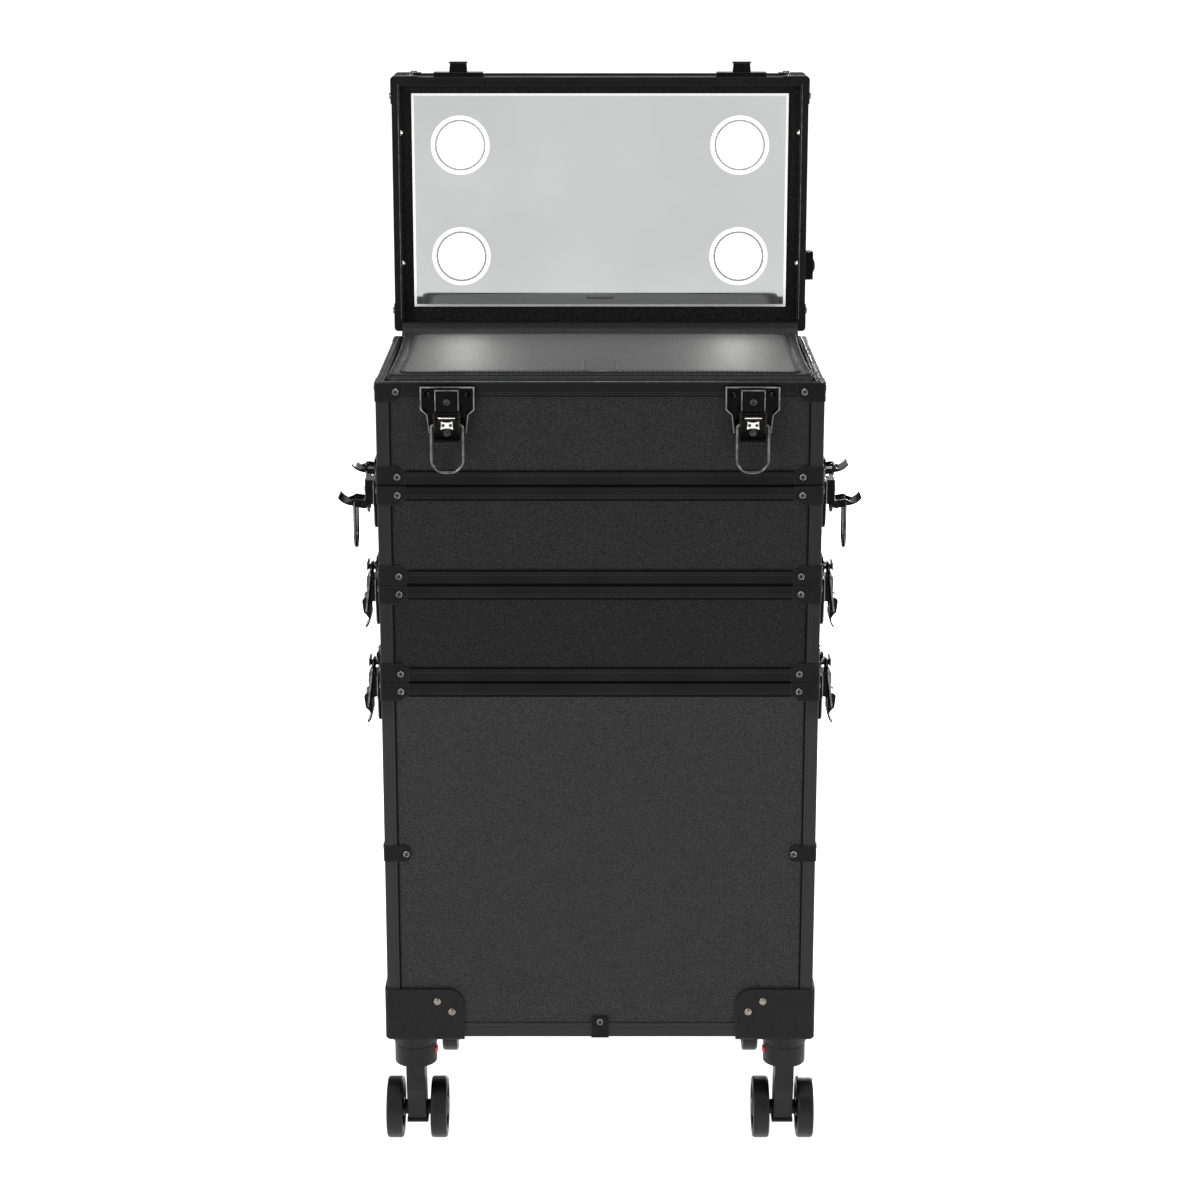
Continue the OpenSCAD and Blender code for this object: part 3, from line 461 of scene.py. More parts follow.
nylon = new_finish("moulded_nylon", NYLON, 0.42, gloss=0.17)
mottle(nylon, 0.02, NYLON, NYLON_PALE)
uneven_gloss(nylon, 0.015, 0.34, 0.48)
relief(nylon, noise_at(nylon, 0.0005), 0.00004, round_edge=0.0012)
dress(nylon, ["fork_" + name for name in CASTERS])

rubber = new_finish("soft_tread", RUBBER, 0.45, gloss=0.22)
mottle(rubber, 0.01, RUBBER, RUBBER_PALE)
uneven_gloss(rubber, 0.012, 0.34, 0.50)
relief(rubber, noise_at(rubber, 0.0004), 0.00004, round_edge=0.0012)
dress(rubber, ["wheels_" + name for name in CASTERS])

tab_red = new_finish("red_tab", TAB_RED, 0.35)
mottle(tab_red, 0.003, TAB_RED, TAB_RED_PALE)


def wedge(middle, size, bulge=0.35):
    """A pillow of the given size: a closed band whose height falls off to its ends as an ellipse."""
    across = np.linspace(-1, 1, 9)[:, None]
    turn = np.linspace(0, 2 * np.pi, 17)[None]
    swell = np.sqrt(np.clip(1 - across ** 2, 0, 1)) * bulge + (1 - bulge) * (np.abs(across) < 1)
    x = np.broadcast_to(across * size[0] / 2, (9, 17))
    y = swell * np.cos(turn) * size[1] / 2
    z = swell * np.sin(turn) * size[2] / 2
    return np.asarray(middle) + np.stack([x, y, z], -1)


swivels = {joint["child"]: joint for joint in frame["joints"] if joint["name"].startswith("swivel_")}
for fork, joint in swivels.items():
    axis_x, axis_y, _ = joint["pos_m"]
    inward = -math.copysign(1, axis_x)
    tab = wedge((axis_x + inward * RED_TAB_IN, axis_y - RED_TAB_AHEAD, RED_TAB_Z), RED_TAB_SIZE)
    lay(f"release_tab_{fork}", [tab], tab_red, fork)


# Toggle latches: pressed plates with a raised box, cheeked levers and catches, all black nickel
# with edges that are rubbed and carry a painted highlight. Two rivets and a pan screw hold each plate.
LATCH = (0.0010, 0.0010, 0.0011)
LATCH_PALE = (0.0020, 0.0020, 0.0021)
LATCH_RUBBED_HIGHLIGHT = (0.09, 0.09, 0.092)
EDGE_HIGHLIGHT = (0.12, 0.12, 0.122)
EDGE_HIGHLIGHT_PALE = (0.24, 0.24, 0.243)
SMOKED = (0.024, 0.0235, 0.023)
SMOKED_PALE = (0.062, 0.061, 0.060)
WIRE = (0.060, 0.060, 0.062)
WIRE_PALE = (0.140, 0.140, 0.143)
PIVOT_OUT = 0.014
PIVOT_DOWN = 0.024
WING = (0.0155, -0.0091, 0.0012)
WING_RIVET = (0.0026, 0.0013)
SCREW_AT = (-0.0128, 0.013)
SCREW_R = 0.0033
PLATE_RIM = [(-0.0146, -0.0400), (-0.0163, -0.0250), (-0.0212, -0.0208), (-0.0212, -0.0028),
             (0.0212, -0.0028), (0.0212, -0.0208), (0.0163, -0.0250), (0.0146, -0.0400)]
PLATE_RIM_OUT = 0.0050
PLATE_RIM_R = 0.0006
BOX_RIM = [(-0.0092, -0.0203), (-0.0092, -0.0039), (0.0092, -0.0039), (0.0092, -0.0203)]
BOX_RIM_OUT = 0.0129
BOX_RIM_R = 0.0004
BAIL_LONG = 0.03856
CRIMP = (0.0036, 0.0017)
WEB_HALF = (0.0080, 0.0072)
WEB_OUT = (0.0035, 0.0118)
WEB_UP = 0.0025
WEB_THICK = 0.0005

black_nickel = new_finish("black_nickel", LATCH, 0.22, gloss=0.06)
latch_tone = mottle(black_nickel, 0.01, LATCH, LATCH_PALE)
rub_and_highlight_edges(black_nickel, latch_tone, LATCH_RUBBED_HIGHLIGHT, 0.0005)
uneven_gloss(black_nickel, 0.008, 0.16, 0.26)
relief(black_nickel, noise_at(black_nickel, 0.0008), 0.00002, round_edge=0.0007)
levers = {joint["child"]: joint for joint in frame["joints"] if joint["name"].startswith("lever_")}
dress(black_nickel, ["latch_plates", "latch_catches", "top_latch_fittings", "lid_fittings"])
dress(black_nickel, levers)

wire_steel = new_finish("nickel_wire", WIRE, 0.16, metal=1.0)
mottle(wire_steel, 0.006, WIRE, WIRE_PALE)
uneven_gloss(wire_steel, 0.004, 0.12, 0.20)
dress(wire_steel, [name.replace("lever_", "bail_") for name in levers])

screw_profile = [(0, -0.0003), (SCREW_R, -0.0003), (SCREW_R, 0.0005), (0.9 * SCREW_R, 0.0011),
                 (0.62 * SCREW_R, 0.0014), (0.45 * SCREW_R, 0.0013), (0.40 * SCREW_R, 0.0006), (0, 0.0005)]
up = np.array([0.0, 0.0, 1.0])

smoked = new_finish("smoked_nickel", SMOKED, 0.12, metal=1.0)
mottle(smoked, 0.003, SMOKED, SMOKED_PALE)
uneven_gloss(smoked, 0.003, 0.08, 0.15)

# Painted highlight: bright nickel laid along the latch edges and the case's rim, where they catch the light.
edge_highlight = new_finish("nickel_edge_painted_highlight", EDGE_HIGHLIGHT, 0.34, metal=1.0)
mottle(edge_highlight, 0.006, EDGE_HIGHLIGHT, EDGE_HIGHLIGHT_PALE)
uneven_gloss(edge_highlight, 0.004, 0.28, 0.42)


def round_bead(radius, out_at, sides=8):
    """Profile of a bead: a circle of (aside, out) pairs about the given height."""
    turn = np.linspace(0, 2 * np.pi, sides + 1)
    return np.stack([radius * np.cos(turn), out_at + radius * np.sin(turn)], 1)


def carried(path, profile, closed=False):
    """A profile of (aside, out) pairs carried along a flat path and mitred at its bends, as points of
    (across, up, out). The ends of an open path run into a point, which closes them."""
    path = np.asarray(path, float)
    ahead = np.roll(path, -1, 0) - path
    ahead /= np.linalg.norm(ahead, axis=1, keepdims=True)
    behind = np.roll(ahead, 1, 0)
    if not closed:
        ahead[-1] = behind[-1]
        behind[0] = ahead[0]
    left = np.stack([-ahead[:, 1], ahead[:, 0]], 1)
    aside = left + np.stack([-behind[:, 1], behind[:, 0]], 1)
    aside /= np.linalg.norm(aside, axis=1, keepdims=True)
    aside /= np.sum(aside * left, 1, keepdims=True)
    flat = path[:, None] + profile[None, :, :1] * aside[:, None]
    grid = np.concatenate([flat, np.broadcast_to(profile[None, :, 1:], (*flat.shape[:2], 1))], -1)
    if closed:
        return np.concatenate([grid, grid[:1]])
    tips = grid[:, :-1].mean(1, keepdims=True) + np.zeros((1, len(profile), 1))
    return np.concatenate([tips[:1], grid, tips[-1:]])


def seated(points, seats):
    """Points of (across, up, out) taken to the wall of each latch, one copy for each seat."""
    return np.stack([seam + points[..., :1] * axis + points[..., 1:2] * up + points[..., 2:] * out
                     for seam, axis, out in seats])


latch_seats = {}
for name, joint in levers.items():
    axis = np.array(joint["axis"], float)
    out = np.cross(up, axis)
    latch_seats[name] = (np.array(joint["pos_m"]) - PIVOT_OUT * out + PIVOT_DOWN * up, axis, out)
for body, chosen in (("base", "side"), ("top_case", "lid")):
    seats = [seat for name, seat in latch_seats.items() if ("lid" in name) == (chosen == "lid")]
    outs = np.array([out for _, _, out in seats])
    wings = [seated(np.array([side * WING[0], *WING[1:]]), seats) for side in (-1, 1)]
    screws = seated(np.array([0.0, *SCREW_AT]), seats)
    heads = [revolved(wing, outs, eyelet(*WING_RIVET)) for wing in wings]
    heads.append(revolved(screws, outs, screw_profile))
    lay(f"latch_rivets_{chosen}", heads, smoked, body)
    # Beads along the plate and box edges that stand for their highlight: painted highlight.
    rims = [seated(carried(PLATE_RIM, round_bead(PLATE_RIM_R, PLATE_RIM_OUT)), seats),
            seated(carried(BOX_RIM, round_bead(BOX_RIM_R, BOX_RIM_OUT)), seats)]
    lay(f"latch_rims_{chosen}", rims, edge_highlight, body, sharp=60)


def hook_web():
    """A plate that narrows from the catch out to the hook's lip: a rectangle of (across, up) at each
    end, and each end closed onto its own middle."""
    corners = np.array([(-1, -1), (1, -1), (1, 1), (-1, 1), (-1, -1)], float)
    share = np.array([[0.0], [1.0], [1.0], [0.0]])
    across = share * np.repeat(WEB_HALF, 2)[:, None] * corners[:, 0]
    rise = WEB_UP + share * WEB_THICK / 2 * corners[:, 1]
    reach = np.repeat(WEB_OUT, 2)[:, None] + np.zeros_like(across)
    return np.stack([across, rise, reach], -1)


lid_seats = [latch_seats[name] for name in ("lever_lid_left", "lever_lid_right")]
lay("lid_hook_webs", [opened(seated(hook_web(), lid_seats))], black_nickel, "lid")

for joint in frame["joints"]:
    bail = joint["child"]
    if bail.startswith("bail_") and ("lid" in bail or bail.endswith("_top")):
        axis = np.array(joint["axis"], float)
        crimp_from = np.array(joint["pos_m"]) - BAIL_LONG * up - CRIMP[0] / 2 * axis
        crimp = [(0, 0), (0.8 * CRIMP[1], 0), (CRIMP[1], 0.2 * CRIMP[0]), (CRIMP[1], 0.8 * CRIMP[0]),
                 (0.8 * CRIMP[1], CRIMP[0]), (0, CRIMP[0])]
        sleeve = revolved([crimp_from], [axis], crimp, turns=12)
        lay(f"crimp_{bail}", [sleeve], wire_steel, bail)


# Lid levers: each carries a bright bow-tie keeper with two pin holes over a small key barrel, and
# a bright bar lies along the plate's knuckle above it: a painted highlight, where the knuckle catches the
# light.
BRIGHT = (0.62, 0.60, 0.57)
BRIGHT_PALE = (0.78, 0.76, 0.73)
KEEPER = (0.0098, 0.0071)
KEEPER_DOWN = 0.0316
KEEPER_OUT = 0.0139
KEEPER_THICK = 0.0014
PIN_HOLE_X = 0.0029
PIN_HOLE = (0.0013, 0.0001)
PIT_SHADE = (0.004, 0.004, 0.004)
PIT_SHADE_DARK = (0.003, 0.003, 0.003)
PIT_SHADE_PALE = (0.006, 0.006, 0.006)
BARREL_DOWN = 0.0378
BARREL_OUT = 0.0112
BARREL_R = 0.0034
BAR_LONG = 0.0136
BAR_R = 0.0006
BAR_AT = (-0.0015, 0.0023)

bright = new_finish("bright_nickel", BRIGHT, 0.22, metal=1.0)
mottle(bright, 0.004, BRIGHT, BRIGHT_PALE)
uneven_gloss(bright, 0.003, 0.16, 0.30)
# Painted shade: the pin holes are flat dark discs, not hollows.
pit_shade = new_finish("pin_hole_painted_shade", PIT_SHADE, 0.7)
mottle(pit_shade, 0.001, PIT_SHADE_DARK, PIT_SHADE_PALE)


def bow_tie(seam, axis, out):
    """Plate across the lever: half height shrinks towards the middle as a parabola, and the
    outline is carried from the back face to a slightly smaller front face and closed there."""
    along = np.linspace(-1, 1, 17)
    half = KEEPER[1] / 2 * (0.70 + 0.30 * along ** 2)
    edge = np.concatenate([np.stack([along, half], 1), np.stack([along[::-1], -half[::-1]], 1)])
    edge = np.concatenate([edge, edge[:1]])
    rows = [(0.0, 0.0), (1.0, 0.0), (1.0, 0.75), (0.92, 1.0), (0.0, 1.0)]
    grid = []
    for scale, rise in rows:
        x = edge[:, 0] * KEEPER[0] / 2 * scale
        z = edge[:, 1] * scale
        grid.append(seam + x[:, None] * axis + (z[:, None] - KEEPER_DOWN) * up
                    + (KEEPER_OUT + rise * KEEPER_THICK) * out)
    return np.stack(grid)


for name in ("lever_lid_left", "lever_lid_right"):
    seam, axis, out = latch_seats[name]
    pivot = np.array(levers[name]["pos_m"])
    side = name.rsplit("_", 1)[1]
    lay(f"keeper_{side}", [bow_tie(seam, axis, out)], bright, name)
    front = KEEPER_OUT + KEEPER_THICK
    # The pin holes are flat dark discs on the keeper's face: painted shade.
    holes = [seam + s * PIN_HOLE_X * axis - KEEPER_DOWN * up + front * out for s in (-1, 1)]
    hole_grids = [revolved(holes, [out, out], dome(*PIN_HOLE))]
    lay(f"keeper_holes_{side}", hole_grids, pit_shade, name)
    barrel_at = seam - BARREL_DOWN * up + BARREL_OUT * out
    barrel = [(0, 0), (BARREL_R, 0), (BARREL_R, 0.0022), (0.9 * BARREL_R, 0.0027), (0.72 * BARREL_R, 0.0027),
              (0.66 * BARREL_R, 0.0022), (0, 0.0023)]
    lay(f"key_barrel_{side}", [revolved([barrel_at], [out], barrel)], smoked, name)
    # Painted highlight: a thin bright bar where the knuckle catches the light.
    bar_from = pivot + BAR_AT[0] * up + BAR_AT[1] * out - BAR_LONG / 2 * axis
    bar = [(0, 0), (0.7 * BAR_R, 0), (BAR_R, 0.5 * BAR_R), (BAR_R, BAR_LONG - 0.5 * BAR_R),
           (0.7 * BAR_R, BAR_LONG), (0, BAR_LONG)]
    knuckle = revolved([bar_from], [axis], bar, turns=12)
    lay(f"knuckle_highlight_{side}", [knuckle], bright, "top_case")


# Trolley: two anodised sleeves clamped behind the base, rods with a moulded grip, and a release
# button. Pan screws hold the brackets to the back panel.
TUBE = (0.020, 0.020, 0.022)
TUBE_PALE = (0.034, 0.034, 0.036)
GRIP = (0.0060, 0.0060, 0.0063)
GRIP_PALE = (0.0095, 0.0095, 0.0100)
BRACKET_X = 0.042
BRACKET_Y = 0.1248
BRACKET_Z = (0.1396, 0.3916)
BRACKET_SCREW = 1.15

tube = new_finish("anodised_tube", TUBE, 0.30, metal=0.6, gloss=0.3)
mottle(tube, 0.03, TUBE, TUBE_PALE)
uneven_gloss(tube, 0.01, 0.26, 0.38)
relief(tube, noise_at(tube, 0.0008), 0.00002, round_edge=0.0008)
dress(tube, ["trolley_sleeves"])

grip = new_finish("grained_grip", GRIP, 0.45, gloss=0.25)
mottle(grip, 0.02, GRIP, GRIP_PALE)
uneven_gloss(grip, 0.01, 0.40, 0.52)
relief(grip, pebbles(grip, 0.0008), 0.00006, round_edge=0.0010)
dress(grip, ["trolley_grip", "trolley_button", "carry_handle", "light_switch"])

bracket_spots = [(x, BRACKET_Y, z) for x in (-BRACKET_X, BRACKET_X) for z in BRACKET_Z]
bracket_heads = revolved(bracket_spots, [(0, 1, 0)] * 4, np.array(screw_profile) * BRACKET_SCREW)
lay("bracket_screws", [bracket_heads], nickel, "base")


# Lid hinges: three stamped steel butt hinges behind the rim, in black nickel. Their knuckles close
# round a pin, and three domed screws hold each leaf.
HINGE_X = (-0.120, 0.0, 0.120)
LEAF_OUT = 0.1112
LEAF_SCREW_Z = 0.6565
LEAF_SCREW = (0.0026, 0.0011)
LEAF_SCREW_X = (-0.019, 0.0, 0.019)

dress(black_nickel, ["top_hinge_leaves", "lid_hinge_leaves"])
leaf_spots = np.array([(x + dx, LEAF_OUT, LEAF_SCREW_Z) for x in HINGE_X for dx in LEAF_SCREW_X])
leaf_outs = np.tile([0.0, 1.0, 0.0], (len(leaf_spots), 1))
leaf_heads = revolved(leaf_spots, leaf_outs, dome(*LEAF_SCREW))
lay("hinge_screws_case", [leaf_heads], nickel, "top_case")
over = leaf_spots * [1, 1, -1] + [0, 0, 2 * HINGE_Z]
over_heads = opened(revolved(over, leaf_outs, dome(*LEAF_SCREW)))
lay("hinge_screws_lid", [over_heads], nickel, "lid")


# Work pad: leatherette over foam on a board. A rolled border runs round it between two lines of
# piping, the middle is crowned, and a sewn tab at the front lifts it.
LEATHER = (0.0130, 0.0134, 0.0135)
LEATHER_PALE = (0.0215, 0.0221, 0.0222)
BORDER = (0.0062, 0.0064, 0.0065)
BORDER_PALE = (0.0105, 0.0108, 0.0110)
BORDER_WIDE = 0.0098
THREAD = (0.020, 0.020, 0.021)
THREAD_PALE = (0.034, 0.034, 0.035)
PAD_CORNER = 0.009
PAD_DRAW = 0.0015
CROWN = 0.0026
GATHER = 0.00022
PAD_HALF = np.array([0.172, 0.102])
PAD_TOP = 0.6765
PIPING = [(0.0022, -0.0002), (0.0104, 0.0002)]
PIPING_R = 0.0009
SEAM_STITCH_IN = 0.0128

pad_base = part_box("work_pad")[0][2]


def ring_frame(edge_x=64, edge_y=40, arc=10):
    """Once round a rounded rectangle: each point's share of the core rectangle and its normal."""
    share = []
    normal = []
    for quarter in range(4):
        angle = np.linspace(0, np.pi / 2, arc, endpoint=False) + quarter * np.pi / 2
        corner = [(1, 1), (-1, 1), (-1, -1), (1, -1)][quarter]
        after = [(-1, 1), (-1, -1), (1, -1), (1, 1)][quarter]
        share.append(np.tile(corner, (arc, 1)).astype(float))
        normal.append(np.stack([np.cos(angle), np.sin(angle)], 1))
        steps = np.linspace(0, 1, edge_x if quarter % 2 == 0 else edge_y, endpoint=False)[:, None]
        share.append(np.array(corner) * (1 - steps) + np.array(after) * steps)
        turned = quarter * np.pi / 2 + np.pi / 2
        normal.append(np.tile([np.cos(turned), np.sin(turned)], (len(steps), 1)))
    share = np.concatenate(share + [share[0][:1]])
    normal = np.concatenate(normal + [normal[0][:1]])
    return share, normal


pad_share, pad_normal = ring_frame()


def pad_ring(inset):
    """Plan of the pad's outline drawn in by inset; the sides pull in most half way along."""
    half = PAD_HALF - inset
    radius = min(PAD_CORNER, half.min())
    plan = pad_share * (half - radius) + pad_normal * radius
    pull = PAD_DRAW * (1 - (plan[:, ::-1] / (PAD_HALF[::-1] + 1e-9)) ** 2)
    return plan - np.sign(plan) * np.clip(pull, 0, None) * np.abs(plan) / PAD_HALF


def pad_crown(plan):
    """Height of the crowned middle over the border."""
    swell = (1 - (plan[:, 0] / PAD_HALF[0]) ** 4) * (1 - (plan[:, 1] / PAD_HALF[1]) ** 4)
    return CROWN * np.clip(swell, 0, 1)


def puckers(plan, pitch=0.011):
    """Small gathers along the seam: a wave along the border with a slowly changing height."""
    run = np.cumsum(np.linalg.norm(np.diff(plan, axis=0, prepend=plan[:1]), axis=1))
    return np.sin(run * 2 * np.pi / pitch) * (0.6 + 0.4 * np.sin(run * 37.0))


PAD_ROWS = [  # inset, height over the pad's top, share of the crown, share of the gathers
    (0.0030, -0.0180, 0.0, 0.0), (0.0005, -0.0178, 0.0, 0.0), (0.0, -0.0166, 0.0, 0.0),
    (0.0, -0.0110, 0.0, 0.0), (0.0, -0.0048, 0.0, 0.0), (0.0003, -0.0028, 0.0, 0.0),
    (0.0010, -0.0013, 0.0, 0.0), (0.0021, -0.0004, 0.0, 0.0), (0.0036, 0.0002, 0.0, 0.1),
    (0.0052, 0.0002, 0.0, 0.3), (0.0068, -0.0002, 0.0, 0.7), (0.0080, -0.0008, 0.0, 1.0),
    (0.0090, -0.0013, 0.1, 0.8), (0.0098, -0.0007, 0.2, 1.0), (0.0112, 0.0000, 0.5, 0.9),
    (0.0132, 0.0002, 0.8, 0.5), (0.0160, 0.0003, 0.95, 0.25), (0.0200, 0.0002, 1.0, 0.1),
    (0.0260, 0.0001, 1.0, 0.0), (0.0360, 0.0, 1.0, 0.0), (0.0500, 0.0, 1.0, 0.0),
    (0.0660, 0.0, 1.0, 0.0), (0.0820, 0.0, 1.0, 0.0), (0.0960, 0.0, 1.0, 0.0), (0.1020, 0.0, 1.0, 0.0)]

pad_grid = []
under = pad_ring(PAD_ROWS[0][0])
pad_grid.append(np.column_stack([under * 0.5, np.full(len(under), pad_base)]))
for inset, rise, crowned, gathered in PAD_ROWS:
    plan = pad_ring(inset)
    height = PAD_TOP + rise + crowned * pad_crown(plan) + gathered * GATHER * puckers(plan)
    pad_grid.append(np.column_stack([plan, np.maximum(height, pad_base)]))
pad_grid = np.stack(pad_grid)
pad_grid = np.concatenate([np.column_stack([under * 0.0, np.full(len(under), pad_base)])[None], pad_grid])

leather = new_finish("satin_leatherette", LEATHER, 0.56, gloss=0.9)
leather_shader = leather.node_tree.nodes["Principled BSDF"]
leather_shader.inputs["Coat Weight"].default_value = 0.95
leather_shader.inputs["Coat Roughness"].default_value = 0.60
mottle(leather, 0.0022, LEATHER, LEATHER_PALE)
uneven_gloss(leather, 0.004, 0.50, 0.62)
relief(leather, pebbles(leather, 0.0017), 0.00020)
border_leather = new_finish("matte_leatherette", BORDER, 0.55, gloss=0.35)
mottle(border_leather, 0.0018, BORDER, BORDER_PALE)
uneven_gloss(border_leather, 0.02, 0.48, 0.60)
relief(border_leather, pebbles(border_leather, 0.0015), 0.00018)

pad = lay("padded_work_surface", [pad_grid], leather, "work_pad", sharp=70)
pad.data.materials.append(border_leather)
middles = np.empty(3 * len(pad.data.polygons))
pad.data.polygons.foreach_get("center", middles)
middles = middles.reshape(-1, 3)
from_edge = np.min(PAD_HALF - np.abs(middles[:, :2]), 1)
on_border = (from_edge < BORDER_WIDE) | (middles[:, 2] < PAD_TOP - BORDER_WIDE)
pad.data.polygons.foreach_set("material_index", on_border.astype(np.int32))
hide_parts("work_pad")


def piping(inset, height):
    """A round cord laid along the pad's outline at the given inset: circles carried round it."""
    plan = pad_ring(inset)
    turn = np.linspace(0, 2 * np.pi, 9)[:, None, None]
    lie = np.cos(turn) * pad_normal[None] * PIPING_R
    rise = np.broadcast_to(np.sin(turn[..., 0]) * PIPING_R, (9, len(plan)))
    return np.concatenate([plan[None] + lie, (PAD_TOP + height + rise)[..., None]], -1)


pad_piping = [piping(inset, height) for inset, height in PIPING]
lay("pad_piping", pad_piping, border_leather, "work_pad", sharp=80)

TAB_HALF = np.array([0.0145, 0.0215])
TAB_MIDDLE = np.array([0.0, -0.0685])
TAB_THICK = 0.0011
TAB_STITCH = 0.84
STITCH = (0.0026, 0.00034)
STITCH_PITCH = 0.0040


def on_pad(plan, over):
    """Points at a height over the pad's crowned top."""
    return np.column_stack([plan, PAD_TOP + pad_crown(plan) + over])


def tab_outline(share, turns=72):
    """The tab's edge shrunk to a share: a superellipse of the sixth power, which is a rectangle with
    rounded corners."""
    angle = np.linspace(0, 2 * np.pi, turns + 1)
    wave = np.stack([np.cos(angle), np.sin(angle)], 1)
    return TAB_MIDDLE + TAB_HALF * share * np.sign(wave) * np.abs(wave) ** (1 / 3)


def sewn(run, over):
    """Stitches along a run of plan points: short spindles, one each pitch, thick in the middle and
    pointed at both ends."""
    step = np.linalg.norm(np.diff(run, axis=0), axis=1)
    walked = np.concatenate([[0.0], np.cumsum(step)])
    at = np.arange(STITCH_PITCH / 2, walked[-1], STITCH_PITCH)
    ends = [np.stack([np.interp(at + side * STITCH[0] / 2, walked, run[:, k]) for k in (0, 1)], 1)
            for side in (-1, 1)]
    start, end = (on_pad(tip, over) for tip in ends)
    along = np.array([0.0, 0.12, 0.5, 0.88, 1.0])
    thick = np.array([0.0, 0.8, 1.0, 0.8, 0.0]) * STITCH[1]
    turn = np.linspace(0, 2 * np.pi, 7)
    ahead = end - start
    aside = np.cross(ahead, up)
    aside /= np.linalg.norm(aside, axis=1, keepdims=True)
    ring = np.cos(turn)[:, None] * aside[:, None] + np.sin(turn)[:, None] * up
    core = start[:, None] + along[:, None] * ahead[:, None]
    return core[:, :, None] + thick[None, :, None, None] * ring[:, None]


tab_rows = [(0.0, -0.0006), (1.0, -0.0006), (1.0, 0.6 * TAB_THICK), (0.97, 0.9 * TAB_THICK),
            (0.92, TAB_THICK), (TAB_STITCH, 0.8 * TAB_THICK), (0.70, 0.95 * TAB_THICK), (0.35, TAB_THICK),
            (0.0, TAB_THICK)]
tab_grid = np.stack([on_pad(tab_outline(share), over) for share, over in tab_rows])
lay("pad_pull_tab", [tab_grid], leather, "work_pad", sharp=60)

thread = new_finish("dark_thread", THREAD, 0.6)
mottle(thread, 0.0006, THREAD, THREAD_PALE)
seam_run = pad_ring(SEAM_STITCH_IN)
pad_stitches = [sewn(tab_outline(TAB_STITCH), 0.8 * TAB_THICK), sewn(seam_run, 0.0001)]
lay("pad_stitches", pad_stitches, thread, "work_pad", sharp=80)


# Hinge tape: a strip of the same leatherette, glued along the back rim of the case and up the rim
# of the lid. It closes the gap in front of the hinges.
TAPE_HALF = 0.174
TAPE_THICK = 0.0003
TAPE_PATH = np.array([(0.1078, 0.6721), (0.1095, 0.6726), (0.1106, 0.6742), (0.1120, 0.6762),
                      (0.1139, 0.6772), (0.1142, 0.6790), (0.1142, 0.6827)])


def strip(path, thick, half, columns=41):
    """A strip of the given thickness: the path of (y, z) pairs is set back along its own normal, both
    sides make one loop, and the loop is carried along x. Each end shrinks to the middle line."""
    ahead = np.gradient(path, axis=0)
    ahead /= np.linalg.norm(ahead, axis=1, keepdims=True)
    behind = path + thick * np.stack([ahead[:, 1], -ahead[:, 0]], 1)
    middle = (path + behind) / 2
    loop = np.concatenate([path, behind[::-1], path[:1]])
    shut = np.concatenate([middle, middle[::-1], middle[:1]])
    x = np.linspace(-half, half, columns)
    rows = np.stack([shut] + [loop] * columns + [shut])
    along = np.concatenate([x[:1], x, x[-1:]])
    return np.concatenate([np.broadcast_to(along[:, None, None], (*rows.shape[:2], 1)), rows], -1)


tape_grid = strip(TAPE_PATH, TAPE_THICK, TAPE_HALF)
tape = lay("hinge_tape", [tape_grid], border_leather, None, sharp=80)
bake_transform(tape)


# Rim beads: the bright edge of the tongue that stands round the mouth of the case, and the beads along
# both sides of the lid's rim, inside the tongue. They are drawn in one with the trims, and their
# brightness is a painted highlight, the light that these edges catch.
BEAD_R = 0.00045
CASE_BEAD = (0.1762, 0.1062)
CASE_BEAD_Z = 0.67225
LID_BEAD_X = 0.1744
LID_BEAD_Y = (-0.1040, 0.1000)
LID_BEAD_Z = 0.6726

case_path = np.array(CASE_BEAD) * [(-1, -1), (1, -1), (1, 1), (-1, 1)]
case_bead = carried(case_path, round_bead(BEAD_R, CASE_BEAD_Z), closed=True)
lay("case_rim_bead", [case_bead], edge_highlight, "top_case", sharp=60)
lid_beads = [carried([(x, y) for y in LID_BEAD_Y], round_bead(BEAD_R, LID_BEAD_Z))
             for x in (-LID_BEAD_X, LID_BEAD_X)]
lay("lid_rim_beads", [opened(bead) for bead in lid_beads], wire_steel, "lid", sharp=60)


# Mirror: silvered glass with a ground arris, glued to a board inside the lid, and four lamps on
# it, each a white ring round a frosted lens that is brightest in the middle.
SILVER = (0.512, 0.518, 0.516)
SILVER_PALE = (0.558, 0.565, 0.563)
ARRIS = (0.93, 0.93, 0.92)
ARRIS_PALE = (0.97, 0.97, 0.96)
MIRROR_X = 0.1635
MIRROR_Y = (-0.0955, 0.0905)
MIRROR_Z = 0.6828
ARRIS_WIDE = 0.0021
LAMP_R = 0.0255
GROOVE_R = (0.0206, 0.0222)
CORE_R = 0.0178
LAMP_TURNS = 48
LAMP_X = 0.1215
LAMP_Y = (-0.0510, 0.0460)
LAMP_WHITE = (0.94, 0.94, 0.92)
LAMP_WHITE_PALE = (0.97, 0.97, 0.96)
LAMP_TINT = (1.0, 0.99, 0.97)
GROOVE = (0.26, 0.257, 0.253)
GROOVE_PALE = (0.31, 0.307, 0.303)
LENS_GLOW = 9.2
RING_GLOW = 0.6
BORDER_SCREW_X = 0.1735
BORDER_SCREW_Y = (-0.062, 0.052)
BORDER_SCREW_Z = 0.6800
BORDER_SCREW = (0.0032, 0.0028)

silver = new_finish("silvered_glass", SILVER, 0.03, metal=1.0)
mottle(silver, 0.12, SILVER, SILVER_PALE)
uneven_gloss(silver, 0.05, 0.015, 0.04)
dress(silver, ["mirror"])

